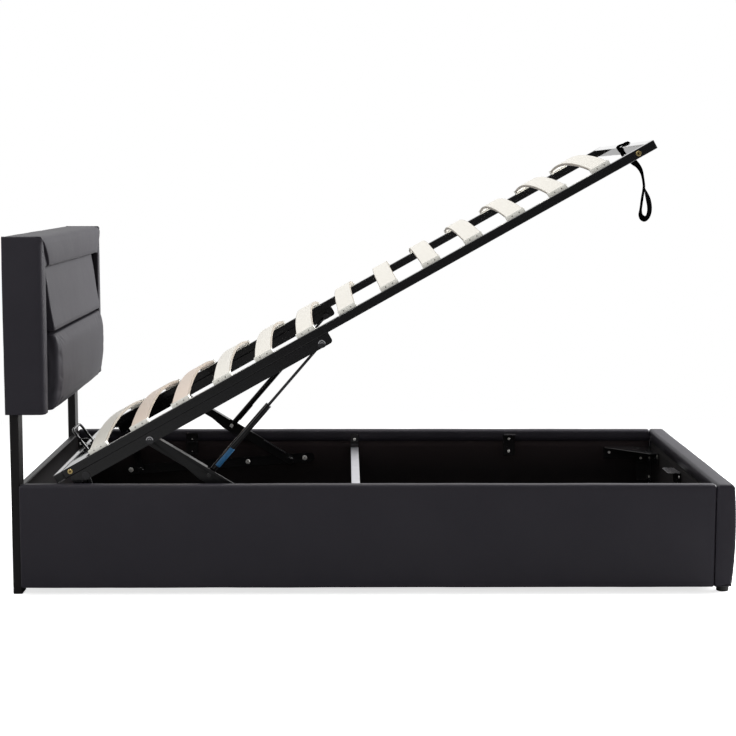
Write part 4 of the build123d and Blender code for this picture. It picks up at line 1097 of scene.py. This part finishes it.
makeRails()
makeFootboard()
print("rails and footboard upholstered")
makeWings()
makeRoll()
makePads()
makeHeadWrap()
print("headboard upholstered")
makeLinings()
makeStrap()
makePlugs()
print("linings, strap and tube plugs placed")


# slats: one bowed strip of laminated wood, repeated along the platform
slats = {
    "count": 13, "first": 0.1446, "pitch": 0.133, "half": 0.458, "lift": 0.0012, "bow": 0.027, "thick": 0.0085,
    "width": 0.0525, "round": 0.0024, "bends": 40, "warm": (1, 2),
}


def addInputs(tree, values):
    ids = {}
    for name, value in values.items():
        kind = "NodeSocketInt" if isinstance(value, int) else "NodeSocketFloat"
        socket = tree.interface.new_socket(name, in_out="INPUT", socket_type=kind)
        socket.default_value = value
        ids[name] = socket.identifier
    tree.interface.new_socket("Geometry", in_out="OUTPUT", socket_type="NodeSocketGeometry")
    return ids


# the mesh that a geometry tree makes, as an object of its own
def bakeTree(name, tree, ids, values):
    holder = addObject(name, bpy.data.meshes.new(name + "Seed"))
    modifier = holder.modifiers.new("build", "NODES")
    modifier.node_group = tree
    for key, value in values.items():
        modifier[ids[key]] = value
    mesh = bpy.data.meshes.new_from_object(evaluated(holder))
    holder.modifiers.clear()
    holder.data = mesh
    return holder


def makeSlats():
    v = slats
    tree = bpy.data.node_groups.new("slatRow", "GeometryNodeTree")
    values = {key.capitalize(): value for key, value in v.items() if key != "warm"}
    ids = addInputs(tree, values)
    make = Graph(tree)
    inputs = tree.nodes.new("NodeGroupInput").outputs
    given = {key: Wire(make, inputs[key]) for key in values}
    middle = given["Lift"] + given["Thick"] * 0.5
    arc = make.node("GeometryNodeCurveArc", {"mode": "POINTS"}, {
        "Resolution": given["Bends"], "Start": make.spot(0.0, given["Half"] * -1.0, middle),
        "Middle": make.spot(0.0, 0.0, middle + given["Bow"]), "End": make.spot(0.0, given["Half"], middle)})
    section = make.node("GeometryNodeCurvePrimitiveQuadrilateral", {"mode": "RECTANGLE"},
                        {"Width": given["Width"], "Height": given["Thick"]})
    section = make.node("GeometryNodeSubdivideCurve", {}, {"Curve": section, "Cuts": 1})
    section = make.node("GeometryNodeFilletCurve", {"mode": "POLY"},
                        {"Curve": section, "Count": 3, "Radius": given["Round"], "Limit Radius": True})
    where = make.node("GeometryNodeInputPosition")
    ply = make.maths("DIVIDE", make.part(where, "Y"), given["Thick"]) + 0.5
    # marks the cut edges, which the finish darkens partly as painted shade
    cut = make.maths("ABSOLUTE", make.part(where, "X")) > given["Width"] * 0.5 - given["Round"]
    section = make.stored(make.stored(section, "POINT", "ply", ply), "POINT", "cutEdge", cut)
    strip = make.node("GeometryNodeCurveToMesh", {}, {"Curve": arc, "Profile Curve": section, "Fill Caps": True})
    row = make.node("GeometryNodeMeshLine", {"mode": "OFFSET"}, {
        "Count": given["Count"], "Start Location": make.spot(given["First"]), "Offset": make.spot(given["Pitch"])})
    placed = make.node("GeometryNodeInstanceOnPoints", {}, {"Points": row, "Instance": strip})
    number = make.node("GeometryNodeInputIndex")
    warm = 0.0
    for which in v["warm"]:
        warm = make.node("FunctionNodeCompare", {"data_type": "INT", "operation": "EQUAL"},
                         {2: number, 3: which}) + warm
    whole = make.node("GeometryNodeRealizeInstances", {}, {"Geometry": make.stored(placed, "INSTANCE", "tone", warm)})
    whole = make.node("GeometryNodeSetShadeSmooth", {}, {"Geometry": whole, "Shade Smooth": False})
    whole = make.node("GeometryNodeSetMaterial", {}, {"Geometry": whole, "Material": finishes["slat_wood"]})
    make.node("NodeGroupOutput", {}, {0: whole})
    bowed = bakeTree("bowed_slats", tree, ids, values)
    bowed.data.transform(Matrix.Translation(platformHead) @ Matrix.Rotation(-tilt, 4, "Y"))
    settle(bowed, "lift_platform", slatNodes)


makeSlats()
print("slats laid")

bpy.context.view_layer.update()
